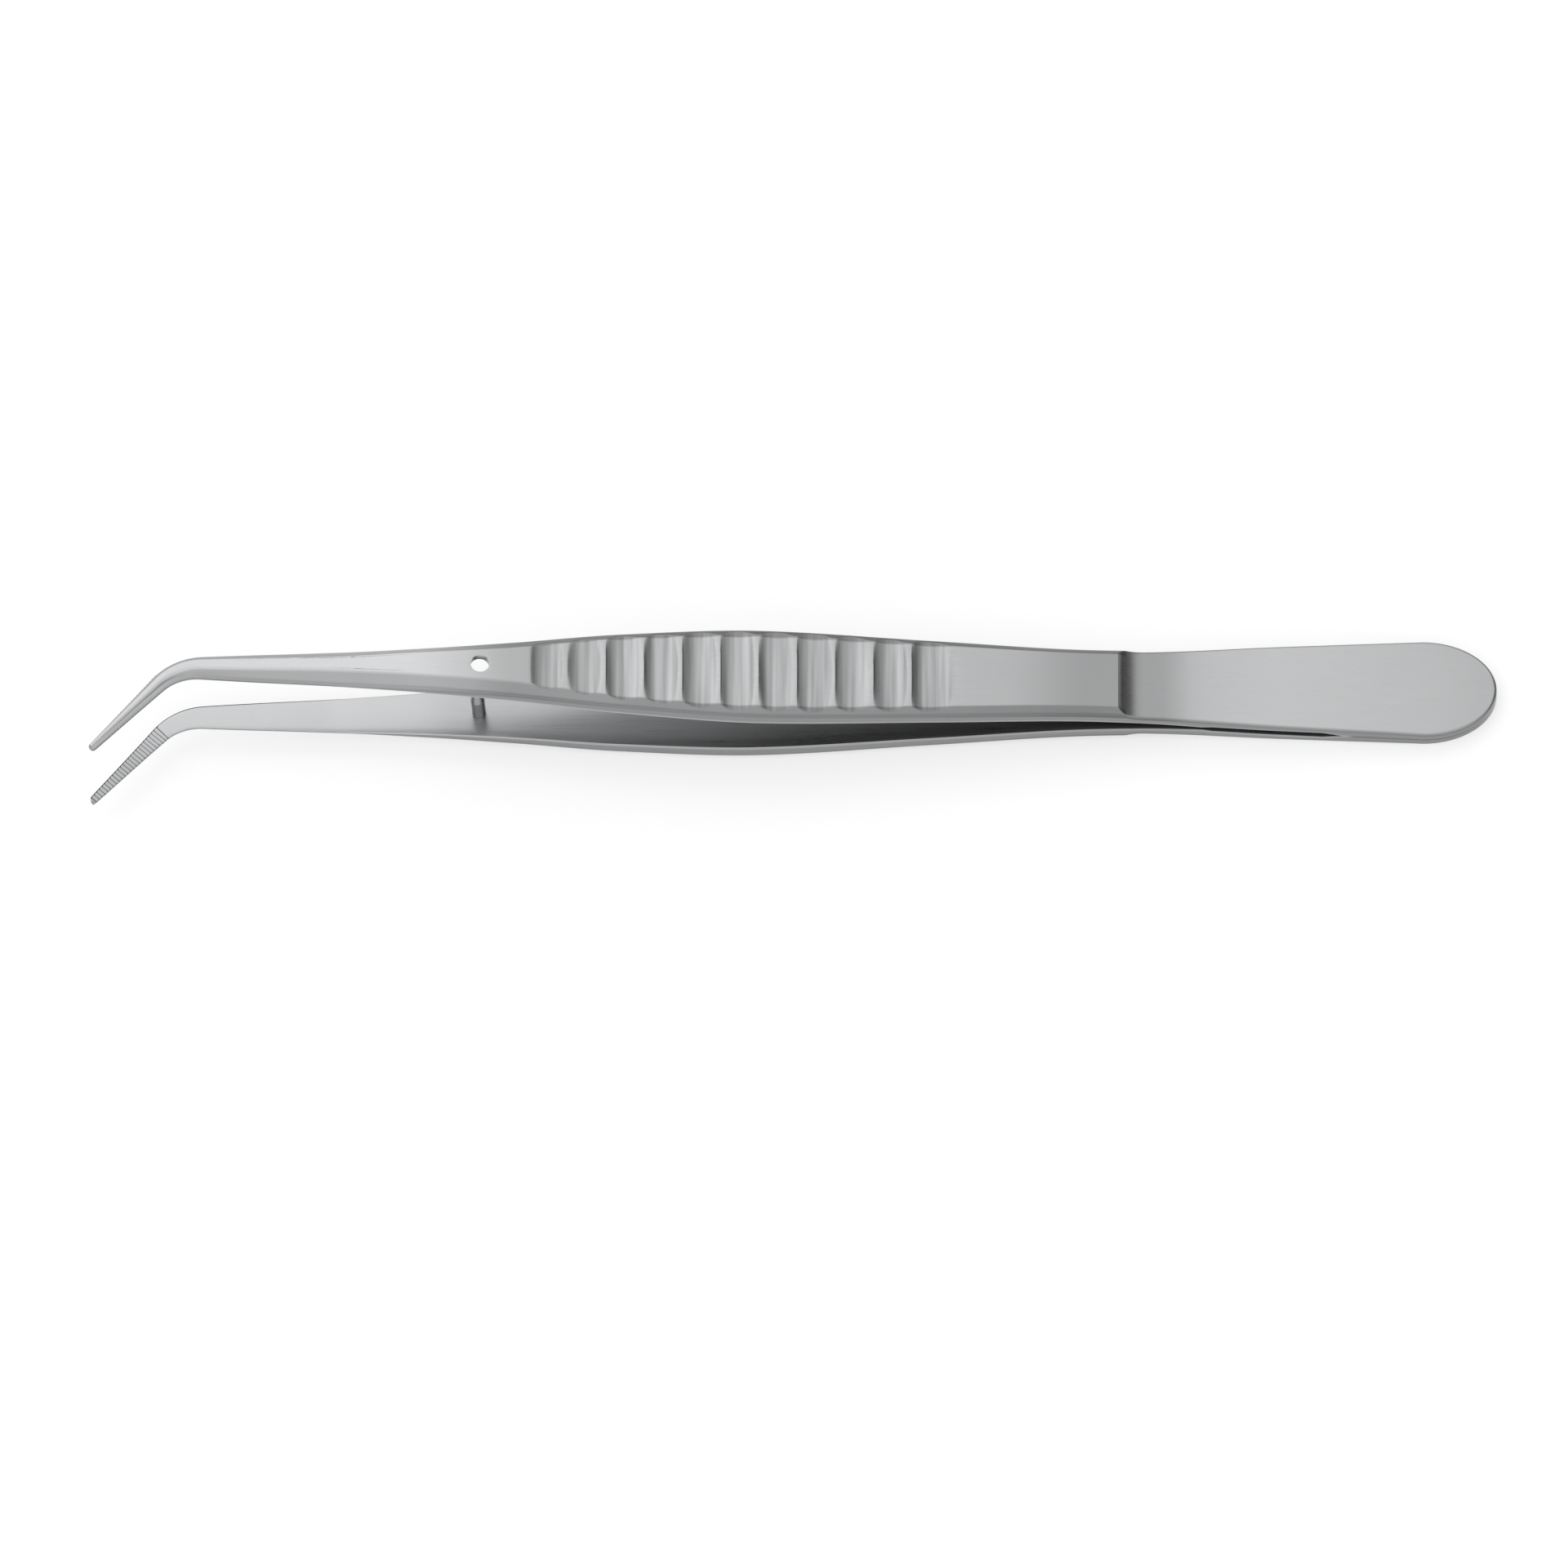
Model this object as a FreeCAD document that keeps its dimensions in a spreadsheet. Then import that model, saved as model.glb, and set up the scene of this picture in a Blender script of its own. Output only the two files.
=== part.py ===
import FreeCAD, Part
import math
import os

import Sketcher

# Angled tweezers, lying on the outside of the arm that carries the guide pin.
# Each arm is drawn about a middle plane between the two: x runs from the butt
# end (0) towards the tips (negative), z is the way in which the arms open and
# the jaws bend towards -y. Lengths are in millimetres and angles in degrees.
SIZES = {
    # Lengths of the stretches of the arm, one after the other from the butt end.
    "weld_span": 17.5,
    "taper_span": 2.4,
    "relief_span": 12.5,
    "step_span": 1.2,
    "foot_span": 7.6,
    "waist_span": 4.8,
    "rear_span": 18.0,
    "grip_span": 20.0,
    "fore_span": 15.7,
    "neck_span": 12.3,
    "stem_span": 10.0,
    "knee_span": 11.0,
    "blade_span": 14.3,
    # Bend and jaw.
    "bend_radius": 6.75,
    "bend_angle": 47.8,
    "jaw_length": 11.4,
    # Half widths of the arm.
    "butt_half_width": 5.8,
    "paddle_half_width": 6.05,
    "paddle_end_depth": 8.3,
    "paddle_mid_half_width": 5.22,
    "foot_half_width": 4.31,
    "waist_half_width": 4.26,
    "rear_half_width": 4.87,
    "grip_half_width": 5.52,
    "fore_half_width": 4.68,
    "neck_half_width": 3.45,
    "stem_half_width": 2.68,
    "knee_half_width": 2.10,
    "bend_half_width": 1.42,
    "jaw_half_width": 1.0,
    "tip_half_width": 0.44,
    # Half widths of the flat outer face.
    "waist_flat": 3.41,
    "rear_flat": 3.86,
    "grip_flat": 4.42,
    "fore_flat": 3.55,
    "neck_flat": 2.14,
    "stem_flat": 1.42,
    "knee_flat": 0.84,
    "bend_flat": 0.62,
    "jaw_flat": 0.45,
    "tip_flat": 0.2,
    # Height of the upright sides.
    "waist_side": 1.62,
    "rear_side": 1.72,
    "grip_side": 1.95,
    "fore_side": 1.78,
    "neck_side": 1.45,
    "stem_side": 0.95,
    "knee_side": 0.35,
    "bend_side": 0.28,
    "jaw_side": 0.3,
    "tip_side": 0.28,
    # Thickness of the arm.
    "waist_thickness": 2.33,
    "fore_thickness": 2.66,
    "neck_thickness": 2.60,
    "stem_thickness": 2.40,
    "knee_thickness": 1.80,
    "bend_thickness": 1.32,
    "jaw_thickness": 1.22,
    "tip_thickness": 0.92,
    # Paddle, weld and slit.
    "butt_thickness": 0.98,
    "grinding_stock": 0.5,
    "paddle_rise": 0.0235,
    "relief_half_gap": 0.48,
    "slit_half_gap": 0.30,
    "shoulder_radius": 2.0,
    # Rise of the inner face for each millimetre towards the tips.
    "arm_rise": 0.0525,
    "blade_rise": 0.026,
    # Flutes across the grip.
    "flute_pitch": 4.35,
    "flute_count": 11,
    "flute_depth": 0.42,
    "flute_land": 0.22,
    "flute_setback": 4.1,
    # Fine teeth across the jaws.
    "tooth_pitch": 0.46,
    "tooth_count": 24,
    "tooth_depth": 0.14,
    "tooth_land": 0.06,
    "tooth_setback": 0.35,
    # Guide pin and the hole that it enters.
    "pin_offset": 3.9,
    "pin_radius": 0.8,
    "pin_nose_radius": 0.55,
    "pin_taper": 1.6,
    "pin_free_length": 4.8,
    "pin_seat_depth": 1.7,
    "pin_clearance": 0.28,
    # Where the thin spring bends, as one hinge.
    "hinge_offset": 12.5,
    "closing_angle": 5.4,
    # How far a cutting sketch reaches across the arm, and past what it cuts.
    "cut_reach": 40.0,
    "cut_margin": 1.0,
}

# The stretches of the arm in their order.
STRETCHES = ("weld", "taper", "relief", "step", "foot", "waist", "rear", "grip", "fore", "neck",
             "stem", "knee", "blade")

UPPER = 1
LOWER = -1
HANDLE = ("waist", "rear", "grip", "fore")
BEND_STEPS = 3

# The points of a line or arc, as a sketch numbers them.
START = 1
END = 2
CENTRE = 3


class Size:
    """A length or angle as the text that a sheet expression needs, with its number."""

    def __init__(self, text, number):
        self.text = text
        self.number = number

    def joined(self, sign, other, number):
        return Size(f"({self.text} {sign} {as_size(other).text})", number)

    def __add__(self, other):
        return self.joined("+", other, self.number + as_size(other).number)

    def __sub__(self, other):
        return self.joined("-", other, self.number - as_size(other).number)

    def __mul__(self, other):
        return self.joined("*", other, self.number * as_size(other).number)

    def __truediv__(self, other):
        return self.joined("/", other, self.number / as_size(other).number)

    def __radd__(self, other):
        return as_size(other) + self

    def __rsub__(self, other):
        return as_size(other) - self

    def __rmul__(self, other):
        return as_size(other) * self

    def __neg__(self):
        return as_size(-1) * self


def as_size(value):
    """A plain number turned into a Size, or the Size itself."""
    if isinstance(value, Size):
        return value
    return Size(f"({value})", float(value))


def named(name):
    return Size(f"Sizes.{name}", SIZES[name])


def sine(angle):
    return Size(f"sin({angle.text} * 1 deg)", math.sin(math.radians(angle.number)))


def cosine(angle):
    return Size(f"cos({angle.text} * 1 deg)", math.cos(math.radians(angle.number)))


def slope_angle(rise):
    """The angle, in degrees, of a face that rises this much for each millimetre."""
    return Size(f"(atan({rise.text}) / 1 deg)", math.degrees(math.atan(rise.number)))


# Places along the arm, from the butt end.

def end_of(stretch):
    """Where a stretch of the arm ends."""
    names = [f"{name}_span" for name in STRETCHES[:STRETCHES.index(stretch) + 1]]
    text = " + ".join(f"Sizes.{name}" for name in names)
    return Size(f"({text})", sum(SIZES[name] for name in names))


def flute_place():
    """The middle of the foremost flute."""
    return end_of("neck") - named("flute_setback")


def pin_place():
    return end_of("neck") + named("pin_offset")


def hinge_place():
    return end_of("weld") + named("hinge_offset")


def hole_place():
    """Where the hole has to be for the guide pin to enter it as the tips close."""
    swing = named("closing_angle")
    reach = pin_place() - hinge_place()
    lift = inner_face(pin_place())
    return hinge_place() + (reach - lift * sine(swing)) / cosine(swing)


# Heights above the middle plane at a place along the arm.

def inner_face(place):
    """The inner face of the arm, from the slit to the knee."""
    return named("slit_half_gap") + named("arm_rise") * (place - end_of("step"))


def blade_face(place):
    """The inner face of the slender blade and of the jaw, past the knee."""
    return inner_face(end_of("knee")) + named("blade_rise") * (place - end_of("knee"))


def paddle_face(place):
    """The outer face of the thin paddle."""
    return named("butt_thickness") + named("paddle_rise") * place


def handle_thickness(place):
    """The handle thickens evenly from the waist to the fore end of the grip."""
    gain = (named("fore_thickness") - named("waist_thickness")) / (end_of("fore") - end_of("waist"))
    return named("waist_thickness") + gain * (place - end_of("waist"))


def handle_face(place):
    """The outer face of the handle."""
    return inner_face(place) + handle_thickness(place)


# Places on the curved line that the middle of the jaw follows.

def bend_point(turn):
    """How far along and how far down the line lies when it has turned by this angle."""
    along = end_of("blade") + named("bend_radius") * sine(turn)
    drop = named("bend_radius") * (1 - cosine(turn))
    return along, drop


def jaw_point(distance):
    """A point on the straight jaw, at this distance from the end of the bend."""
    along, drop = bend_point(named("bend_angle"))
    return (along + distance * cosine(named("bend_angle")),
            drop + distance * sine(named("bend_angle")))


# Sketches.

def add_sizes(document):
    sheet = document.addObject("Spreadsheet::Sheet", "Sizes")
    for row, (name, value) in enumerate(SIZES.items(), start=1):
        sheet.set(f"A{row}", name)
        sheet.set(f"B{row}", str(value))
        sheet.setAlias(f"B{row}", name)
    document.recompute()


def add_sketch(body, name, role, offset=(0, 0, 0), axis=(0, 0, 1), turn=None):
    """A sketch on one of the body's own planes, moved and turned by sizes from the sheet."""
    sketch = body.newObject("Sketcher::SketchObject", name)
    plane = next(item for item in body.Origin.OriginFeatures if item.Role == role)
    sketch.AttachmentSupport = [(plane, "")]
    sketch.MapMode = "FlatFace"
    shift = [as_size(value) for value in offset]
    angle = as_size(0 if turn is None else turn)
    sketch.AttachmentOffset = FreeCAD.Placement(
        FreeCAD.Vector(*[value.number for value in shift]),
        FreeCAD.Rotation(FreeCAD.Vector(*axis), angle.number))
    for letter, value in zip("xyz", shift):
        sketch.setExpression(f"AttachmentOffset.Base.{letter}", value.text)
    if turn is not None:
        sketch.setExpression("AttachmentOffset.Rotation.Angle", angle.text)
    return sketch


def bind(sketch, constraint, value):
    """Adds a constraint whose size comes from the sheet."""
    index = sketch.addConstraint(constraint)
    sketch.setExpression(f"Constraints[{index}]", value.text)


def place_point(sketch, line, end, x, y):
    """Fixes one end of a line at (x, y)."""
    if isinstance(x, Size):
        bind(sketch, Sketcher.Constraint("DistanceX", -1, 1, line, end, x.number), x)
    else:
        sketch.addConstraint(Sketcher.Constraint("PointOnObject", line, end, -2))
    if isinstance(y, Size):
        bind(sketch, Sketcher.Constraint("DistanceY", -1, 1, line, end, y.number), y)
    else:
        sketch.addConstraint(Sketcher.Constraint("PointOnObject", line, end, -1))


def point(x, y):
    return FreeCAD.Vector(as_size(x).number, as_size(y).number, 0)


def draw_polygon(sketch, corners):
    """A closed outline of straight lines. A coordinate of 0 lies on the axis itself."""
    count = len(corners)
    for index, corner in enumerate(corners):
        following = corners[(index + 1) % count]
        sketch.addGeometry(Part.LineSegment(point(*corner), point(*following)), False)
    for index, corner in enumerate(corners):
        sketch.addConstraint(
            Sketcher.Constraint("Coincident", index, END, (index + 1) % count, START))
        place_point(sketch, index, START, *corner)


def draw_circle(sketch, radius, x=0, y=0):
    index = sketch.addGeometry(
        Part.Circle(point(x, y), FreeCAD.Vector(0, 0, 1), radius.number), False)
    place_point(sketch, index, CENTRE, x, y)
    bind(sketch, Sketcher.Constraint("Radius", index, radius.number), radius)


def draw_direction(sketch, x, y):
    """A construction line from the origin, for a pattern to follow."""
    index = sketch.addGeometry(Part.LineSegment(point(0, 0), point(x, y)), True)
    sketch.addConstraint(Sketcher.Constraint("Coincident", index, START, -1, 1))
    place_point(sketch, index, END, as_size(x), as_size(y))


# Features.

def add_cut(body, name, sketch, width=None):
    """A pocket as deep on one side of its sketch as on the other, as wide as the arm or more."""
    width = width or named("cut_reach")
    pocket = body.newObject("PartDesign::Pocket", name)
    pocket.Profile = sketch
    pocket.Midplane = True
    pocket.Type = 0
    pocket.Length = width.number
    pocket.setExpression("Length", width.text)
    return pocket


def add_row(body, name, feature, sketch, pitch, count):
    """Repeats a feature along the construction line of its sketch."""
    row = body.newObject("PartDesign::LinearPattern", name)
    row.Originals = [feature]
    row.Direction = (sketch, ["Axis0"])
    length = pitch * (count - 1)
    row.Length = length.number
    row.setExpression("Length", length.text)
    row.Occurrences = int(count.number)
    row.setExpression("Occurrences", count.text)
    body.Tip = row
    return row


def add_loft(body, name, sections):
    loft = body.newObject("PartDesign::AdditiveLoft", name)
    loft.Profile = sections[0]
    loft.Sections = sections[1:]
    loft.Ruled = False
    return loft


def paddle_section(body, name, side, place, half_width):
    """A plain slab from the middle plane to above the outer face of the paddle."""
    top = side * (paddle_face(place) + named("grinding_stock"))
    sketch = add_sketch(body, name, "YZ_Plane", (0, 0, -place))
    draw_polygon(sketch, [
        (-half_width, 0),
        (half_width, 0),
        (half_width, top),
        (-half_width, top),
    ])
    return sketch


def arm_section(body, name, side, sizes, place, lift, thickness, drop=0, turn=None):
    """Flat inside, upright sides, a bevel on each side and a flat outer face."""
    sketch = add_sketch(body, name, "YZ_Plane", (-as_size(drop), 0, -place), (0, 1, 0), turn)
    half_width, flat, upright = sizes
    draw_polygon(sketch, [
        (-half_width, side * lift),
        (half_width, side * lift),
        (half_width, side * (lift + upright)),
        (flat, side * (lift + thickness)),
        (-flat, side * (lift + thickness)),
        (-half_width, side * (lift + upright)),
    ])
    return sketch


def station(name):
    """Half width, half of the flat outer face, and height of the upright side."""
    return named(f"{name}_half_width"), named(f"{name}_flat"), named(f"{name}_side")


def blend(first, second, share):
    """A size part of the way from one station's value to the next one's."""
    return first + (second - first) * share


def add_paddle(body, side):
    middle = (named("paddle_end_depth") + end_of("foot")) / 2
    sections = [
        paddle_section(body, "PaddleButt", side, as_size(0), named("butt_half_width")),
        paddle_section(body, "PaddleWide", side, named("paddle_end_depth"), named("paddle_half_width")),
        paddle_section(body, "PaddleMiddle", side, middle, named("paddle_mid_half_width")),
        paddle_section(body, "PaddleFoot", side, end_of("foot"), named("foot_half_width")),
    ]
    add_loft(body, "Paddle", sections)
    add_paddle_face(body, side)
    add_slit(body, side)


def add_paddle_face(body, side):
    """Grinds the outer face of the paddle to one plane."""
    foot = end_of("foot")
    stock = 2 * named("grinding_stock")
    sketch = add_sketch(body, "PaddleFaceProfile", "XZ_Plane")
    draw_polygon(sketch, [
        (-foot, side * paddle_face(foot)),
        (stock, side * paddle_face(-stock)),
        (stock, side * (paddle_face(foot) + stock)),
        (-foot, side * (paddle_face(foot) + stock)),
    ])
    add_cut(body, "PaddleFace", sketch)


def add_slit(body, side):
    """Cuts the inner face back from the weld to the shoulder, deeper where the spring is relieved."""
    sketch = add_sketch(body, "SlitProfile", "XZ_Plane")
    foot = end_of("foot")
    draw_polygon(sketch, [
        (-end_of("weld"), 0),
        (-end_of("taper"), side * named("relief_half_gap")),
        (-end_of("relief"), side * named("relief_half_gap")),
        (-end_of("step"), side * named("slit_half_gap")),
        (-foot, side * inner_face(foot)),
        (-foot, -side * named("slit_half_gap")),
        (-end_of("weld"), -side * named("slit_half_gap")),
    ])
    add_cut(body, "Slit", sketch)


def add_butt_end(body):
    """Rounds the end of the paddle to half an ellipse."""
    depth = named("paddle_end_depth")
    half_width = named("paddle_half_width")
    sketch = add_sketch(body, "ButtEndOutline", "XY_Plane")
    ellipse = Part.Ellipse(point(0, 0), depth.number, half_width.number)
    ellipse.Center = point(-depth, 0)
    arc = sketch.addGeometry(Part.ArcOfEllipse(ellipse, -math.pi / 2, math.pi / 2), False)
    sketch.exposeInternalGeometry(arc)
    major = arc + 1
    minor = arc + 2
    place_point(sketch, arc, CENTRE, -depth, 0)
    sketch.addConstraint(Sketcher.Constraint("Horizontal", major))
    bind(sketch, Sketcher.Constraint("Distance", major, 2 * depth.number), 2 * depth)
    bind(sketch, Sketcher.Constraint("Distance", minor, 2 * half_width.number), 2 * half_width)
    margin = named("cut_margin")
    corners = [
        (-depth, half_width),
        (-depth, half_width + margin),
        (margin, half_width + margin),
        (margin, -half_width - margin),
        (-depth, -half_width - margin),
        (-depth, -half_width),
    ]
    close_outline(sketch, arc, corners)
    add_cut(body, "ButtEnd", sketch)


def add_blade(body, side):
    """The handle and the slender blade in front of it, from the shoulder to the bend."""
    foot = end_of("foot")
    foot_sizes = (named("foot_half_width"), named("waist_flat"), named("waist_side"))
    sections = [arm_section(body, "BladeFoot", side, foot_sizes, foot, inner_face(foot),
                            handle_thickness(foot))]
    for name in HANDLE:
        place = end_of(name)
        sections.append(arm_section(body, f"Blade_{name}", side, station(name), place,
                                    inner_face(place), handle_thickness(place)))
    for name in ("neck", "stem", "knee"):
        place = end_of(name)
        sections.append(arm_section(body, f"Blade_{name}", side, station(name), place,
                                    inner_face(place), named(f"{name}_thickness")))
    sections.append(bend_section(body, "Blade_bend", side, 0))
    add_loft(body, "Blade", sections)


def bend_section(body, name, side, share):
    """A section in the bend, where the line has made this share of its turn."""
    turn = named("bend_angle") * share
    along, drop = bend_point(turn)
    sizes = [blend(first, second, share) for first, second in zip(station("bend"), station("jaw"))]
    thickness = blend(named("bend_thickness"), named("jaw_thickness"), share)
    return arm_section(body, name, side, sizes, along, blade_face(along), thickness, drop, turn)


def add_jaw(body, side):
    """The bend in the plane of the blade, and the tapered jaw with its rounded tip."""
    add_loft(body, "Bend", [
        bend_section(body, f"Bend_{step}", side, step / BEND_STEPS) for step in range(BEND_STEPS + 1)
    ])
    turn = named("bend_angle")
    along, drop = jaw_point(as_size(0))
    end_along, end_drop = jaw_point(named("jaw_length"))
    add_loft(body, "Jaw", [
        arm_section(body, "JawRoot", side, station("jaw"), along, blade_face(along),
                    named("jaw_thickness"), drop, turn),
        arm_section(body, "JawTip", side, station("tip"), end_along, blade_face(end_along),
                    named("tip_thickness"), end_drop, turn),
    ])
    add_tip_round(body)


def add_tip_round(body):
    """Rounds the tip to half a circle as wide as the jaw is there."""
    taper = (named("jaw_half_width") - named("tip_half_width")) / named("jaw_length")
    radius = named("tip_half_width") / (1 - taper)
    along, drop = bend_point(named("bend_angle"))
    sketch = add_sketch(body, "TipOutline", "XY_Plane", (-along, -drop, 0), (0, 0, 1), named("bend_angle"))
    centre = radius - named("jaw_length")
    arc = sketch.addGeometry(Part.ArcOfCircle(
        Part.Circle(point(centre, 0), FreeCAD.Vector(0, 0, 1), radius.number), math.pi / 2, 3 * math.pi / 2))
    place_point(sketch, arc, CENTRE, centre, 0)
    corners = [
        (centre, -radius),
        (centre, -2 * radius),
        (centre - 2 * radius, -2 * radius),
        (centre - 2 * radius, 2 * radius),
        (centre, 2 * radius),
        (centre, radius),
    ]
    close_outline(sketch, arc, corners)
    add_cut(body, "TipRound", sketch)


def close_outline(sketch, arc, corners):
    """Straight lines from the end of an arc round to its start. The first and last are upright."""
    lines = []
    for first, second in zip(corners, corners[1:]):
        lines.append(sketch.addGeometry(Part.LineSegment(point(*first), point(*second)), False))
    for first, second in zip(lines, lines[1:]):
        sketch.addConstraint(Sketcher.Constraint("Coincident", first, END, second, START))
    for line, corner in zip(lines[1:], corners[1:]):
        place_point(sketch, line, START, *corner)
    sketch.addConstraint(Sketcher.Constraint("Coincident", lines[0], START, arc, END))
    sketch.addConstraint(Sketcher.Constraint("Coincident", lines[-1], END, arc, START))
    sketch.addConstraint(Sketcher.Constraint("Vertical", lines[0]))
    sketch.addConstraint(Sketcher.Constraint("Vertical", lines[-1]))


def add_shoulder(body, side):
    """A concave ramp from the thick handle down to the paddle, as wide as the arm."""
    foot = end_of("foot")
    radius = named("shoulder_radius")
    level = side * paddle_face(foot)
    crest = side * (handle_face(foot) + named("cut_margin"))
    sketch = add_sketch(body, "ShoulderProfile", "XZ_Plane")
    height = handle_face(foot) + named("cut_margin") - paddle_face(foot)
    run = math.sqrt(radius.number ** 2 - (radius.number - height.number) ** 2)
    centre = point(-foot, level + side * radius)
    if side == UPPER:
        angles = (math.pi + math.asin((radius.number - height.number) / radius.number), 3 * math.pi / 2)
    else:
        angles = (math.pi / 2, math.pi - math.asin((radius.number - height.number) / radius.number))
    arc = sketch.addGeometry(Part.ArcOfCircle(
        Part.Circle(centre, FreeCAD.Vector(0, 0, 1), radius.number), *angles))
    place_point(sketch, arc, CENTRE, -foot, level + side * radius)
    low, high = (END, START) if side == UPPER else (START, END)
    upright = sketch.addGeometry(Part.LineSegment(point(-foot, level), point(-foot, crest)), False)
    top = sketch.addGeometry(Part.LineSegment(
        point(-foot, crest), point(-foot - run, crest)), False)
    sketch.addConstraint(Sketcher.Constraint("Coincident", upright, START, arc, low))
    sketch.addConstraint(Sketcher.Constraint("Coincident", upright, END, top, START))
    sketch.addConstraint(Sketcher.Constraint("Coincident", top, END, arc, high))
    place_point(sketch, upright, START, -foot, level)
    place_point(sketch, upright, END, -foot, crest)
    sketch.addConstraint(Sketcher.Constraint("Horizontal", top))
    add_cut(body, "Shoulder", sketch)


def add_flutes(body, side):
    """A row of shallow round troughs across the outer face of the grip."""
    pitch = named("flute_pitch")
    depth = named("flute_depth")
    half_chord = (pitch - named("flute_land")) / 2
    radius = (half_chord * half_chord + depth * depth) / (2 * depth)
    place = flute_place()
    rise = handle_face(place - pitch) - handle_face(place)
    sketch = add_sketch(body, "FluteProfile", "XZ_Plane", (-place, side * handle_face(place), 0))
    draw_circle(sketch, radius, 0, side * (radius - depth))
    draw_direction(sketch, pitch, side * rise)
    flute = add_cut(body, "Flute", sketch)
    add_row(body, "Flutes", flute, sketch, pitch, named("flute_count"))


def add_teeth(body, side):
    """Fine vee grooves across the inner face of the jaw, up to its tip."""
    pitch = named("tooth_pitch")
    depth = named("tooth_depth")
    along, drop = jaw_point(named("tooth_setback"))
    spread = pitch - named("tooth_land")
    sketch = add_sketch(body, "ToothProfile", "XZ_Plane", (-along, side * blade_face(along), drop),
                        (0, 1, 0), named("bend_angle"))
    draw_polygon(sketch, [
        (-spread, -side * depth),
        (spread, -side * depth),
        (0, side * depth),
    ])
    rise = named("blade_rise") * cosine(named("bend_angle"))
    draw_direction(sketch, -pitch, side * rise * pitch)
    tooth = add_cut(body, "Tooth", sketch, 6 * named("jaw_half_width"))
    add_row(body, "Teeth", tooth, sketch, pitch, named("tooth_count"))


def add_bore(body, name, side, place, radius, depth):
    """A round bore at right angles to the inner face."""
    sketch = add_sketch(body, f"{name}Outline", "XY_Plane", (-place, 0, side * inner_face(place)),
                        (0, 1, 0), side * slope_angle(named("arm_rise")))
    draw_circle(sketch, radius)
    add_cut(body, name, sketch, 2 * depth)


def add_arm(document, label, side):
    """One arm: paddle, handle, blade and jaw in one piece."""
    body = document.addObject("PartDesign::Body", label)
    body.Label = label
    add_paddle(body, side)
    add_butt_end(body)
    add_blade(body, side)
    add_jaw(body, side)
    add_shoulder(body, side)
    add_flutes(body, side)
    add_teeth(body, side)
    return body


def add_hole_arm(document):
    """The arm on top, with the open hole for the pin."""
    body = add_arm(document, "hole_arm", UPPER)
    radius = named("pin_radius") + named("pin_clearance")
    add_bore(body, "PinHole", UPPER, hole_place(), radius, named("cut_reach") / 4)
    return body


def add_pin_arm(document):
    """The arm underneath, with the blind bore that the pin is pressed into."""
    body = add_arm(document, "pin_arm", LOWER)
    add_bore(body, "PinSeat", LOWER, pin_place(), named("pin_radius"), named("pin_seat_depth"))
    return body


def add_guide_pin(document):
    """A turned pin: a straight shank, a short taper and a round nose."""
    body = document.addObject("PartDesign::Body", "guide_pin")
    body.Label = "guide_pin"
    radius = named("pin_radius")
    nose = named("pin_nose_radius")
    free = named("pin_free_length")
    place = pin_place()
    sketch = add_sketch(body, "PinProfile", "XZ_Plane", (-place, -inner_face(place), 0),
                        (0, 0, 1), slope_angle(named("arm_rise")))
    corners = [
        (0, free),
        (0, -named("pin_seat_depth")),
        (radius, -named("pin_seat_depth")),
        (radius, free - named("pin_taper")),
        (nose, free - nose),
    ]
    lines = []
    for first, second in zip(corners, corners[1:]):
        lines.append(sketch.addGeometry(Part.LineSegment(point(*first), point(*second)), False))
    for first, second in zip(lines, lines[1:]):
        sketch.addConstraint(Sketcher.Constraint("Coincident", first, END, second, START))
    for line, corner in zip(lines, corners):
        place_point(sketch, line, START, *corner)
    arc = sketch.addGeometry(Part.ArcOfCircle(
        Part.Circle(point(0, free - nose), FreeCAD.Vector(0, 0, 1), nose.number), 0, math.pi / 2))
    place_point(sketch, arc, CENTRE, 0, free - nose)
    sketch.addConstraint(Sketcher.Constraint("Coincident", lines[-1], END, arc, START))
    sketch.addConstraint(Sketcher.Constraint("Coincident", lines[0], START, arc, END))
    sketch.addConstraint(Sketcher.Constraint("Horizontal", arc, START, arc, CENTRE))
    turned = body.newObject("PartDesign::Revolution", "PinBody")
    turned.Profile = sketch
    turned.ReferenceAxis = (sketch, ["V_Axis"])
    turned.Angle = 360
    return body


def lay_down(bodies):
    """Turns the tweezers so that the butt and the front of the grip rest on the floor."""
    butt = named("butt_thickness")
    feet = [(end_of(name), handle_face(end_of(name))) for name in HANDLE]
    feet.append((end_of("neck"), inner_face(end_of("neck")) + named("neck_thickness")))
    slope = max(((height - butt) / place).number for place, height in feet)
    turned = FreeCAD.Rotation(FreeCAD.Vector(0, 1, 0), math.degrees(math.atan(slope)))
    whole = Part.makeCompound([body.Shape for body in bodies])
    whole.Placement = FreeCAD.Placement(FreeCAD.Vector(), turned)
    box = whole.optimalBoundingBox()
    shift = FreeCAD.Vector(-box.Center.x, -box.Center.y, -box.ZMin)
    for body in bodies:
        body.Placement = FreeCAD.Placement(shift, turned)


def check(document, bodies):
    """Stops if anything in the document failed or a piece is not one sound solid."""
    for item in document.Objects:
        if "Invalid" in item.State or "Error" in item.State:
            raise RuntimeError(f"{item.Name} failed: {item.State}")
    for body in bodies:
        shape = body.Shape
        if shape.isNull() or not shape.isValid() or len(shape.Solids) != 1:
            raise RuntimeError(f"{body.Label} is not one sound solid")


def main():
    document = FreeCAD.newDocument("Tweezers")
    add_sizes(document)
    bodies = [add_hole_arm(document), add_pin_arm(document), add_guide_pin(document)]
    document.recompute()
    lay_down(bodies)
    document.recompute()
    check(document, bodies)
    os.makedirs("parts", exist_ok=True)
    for body in bodies:
        body.Shape.exportStep(f"parts/{body.Label}.step")


main()
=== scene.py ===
import logging
import math
from bisect import bisect_right
from collections import defaultdict
from dataclasses import dataclass, field, replace
from enum import Enum

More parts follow.
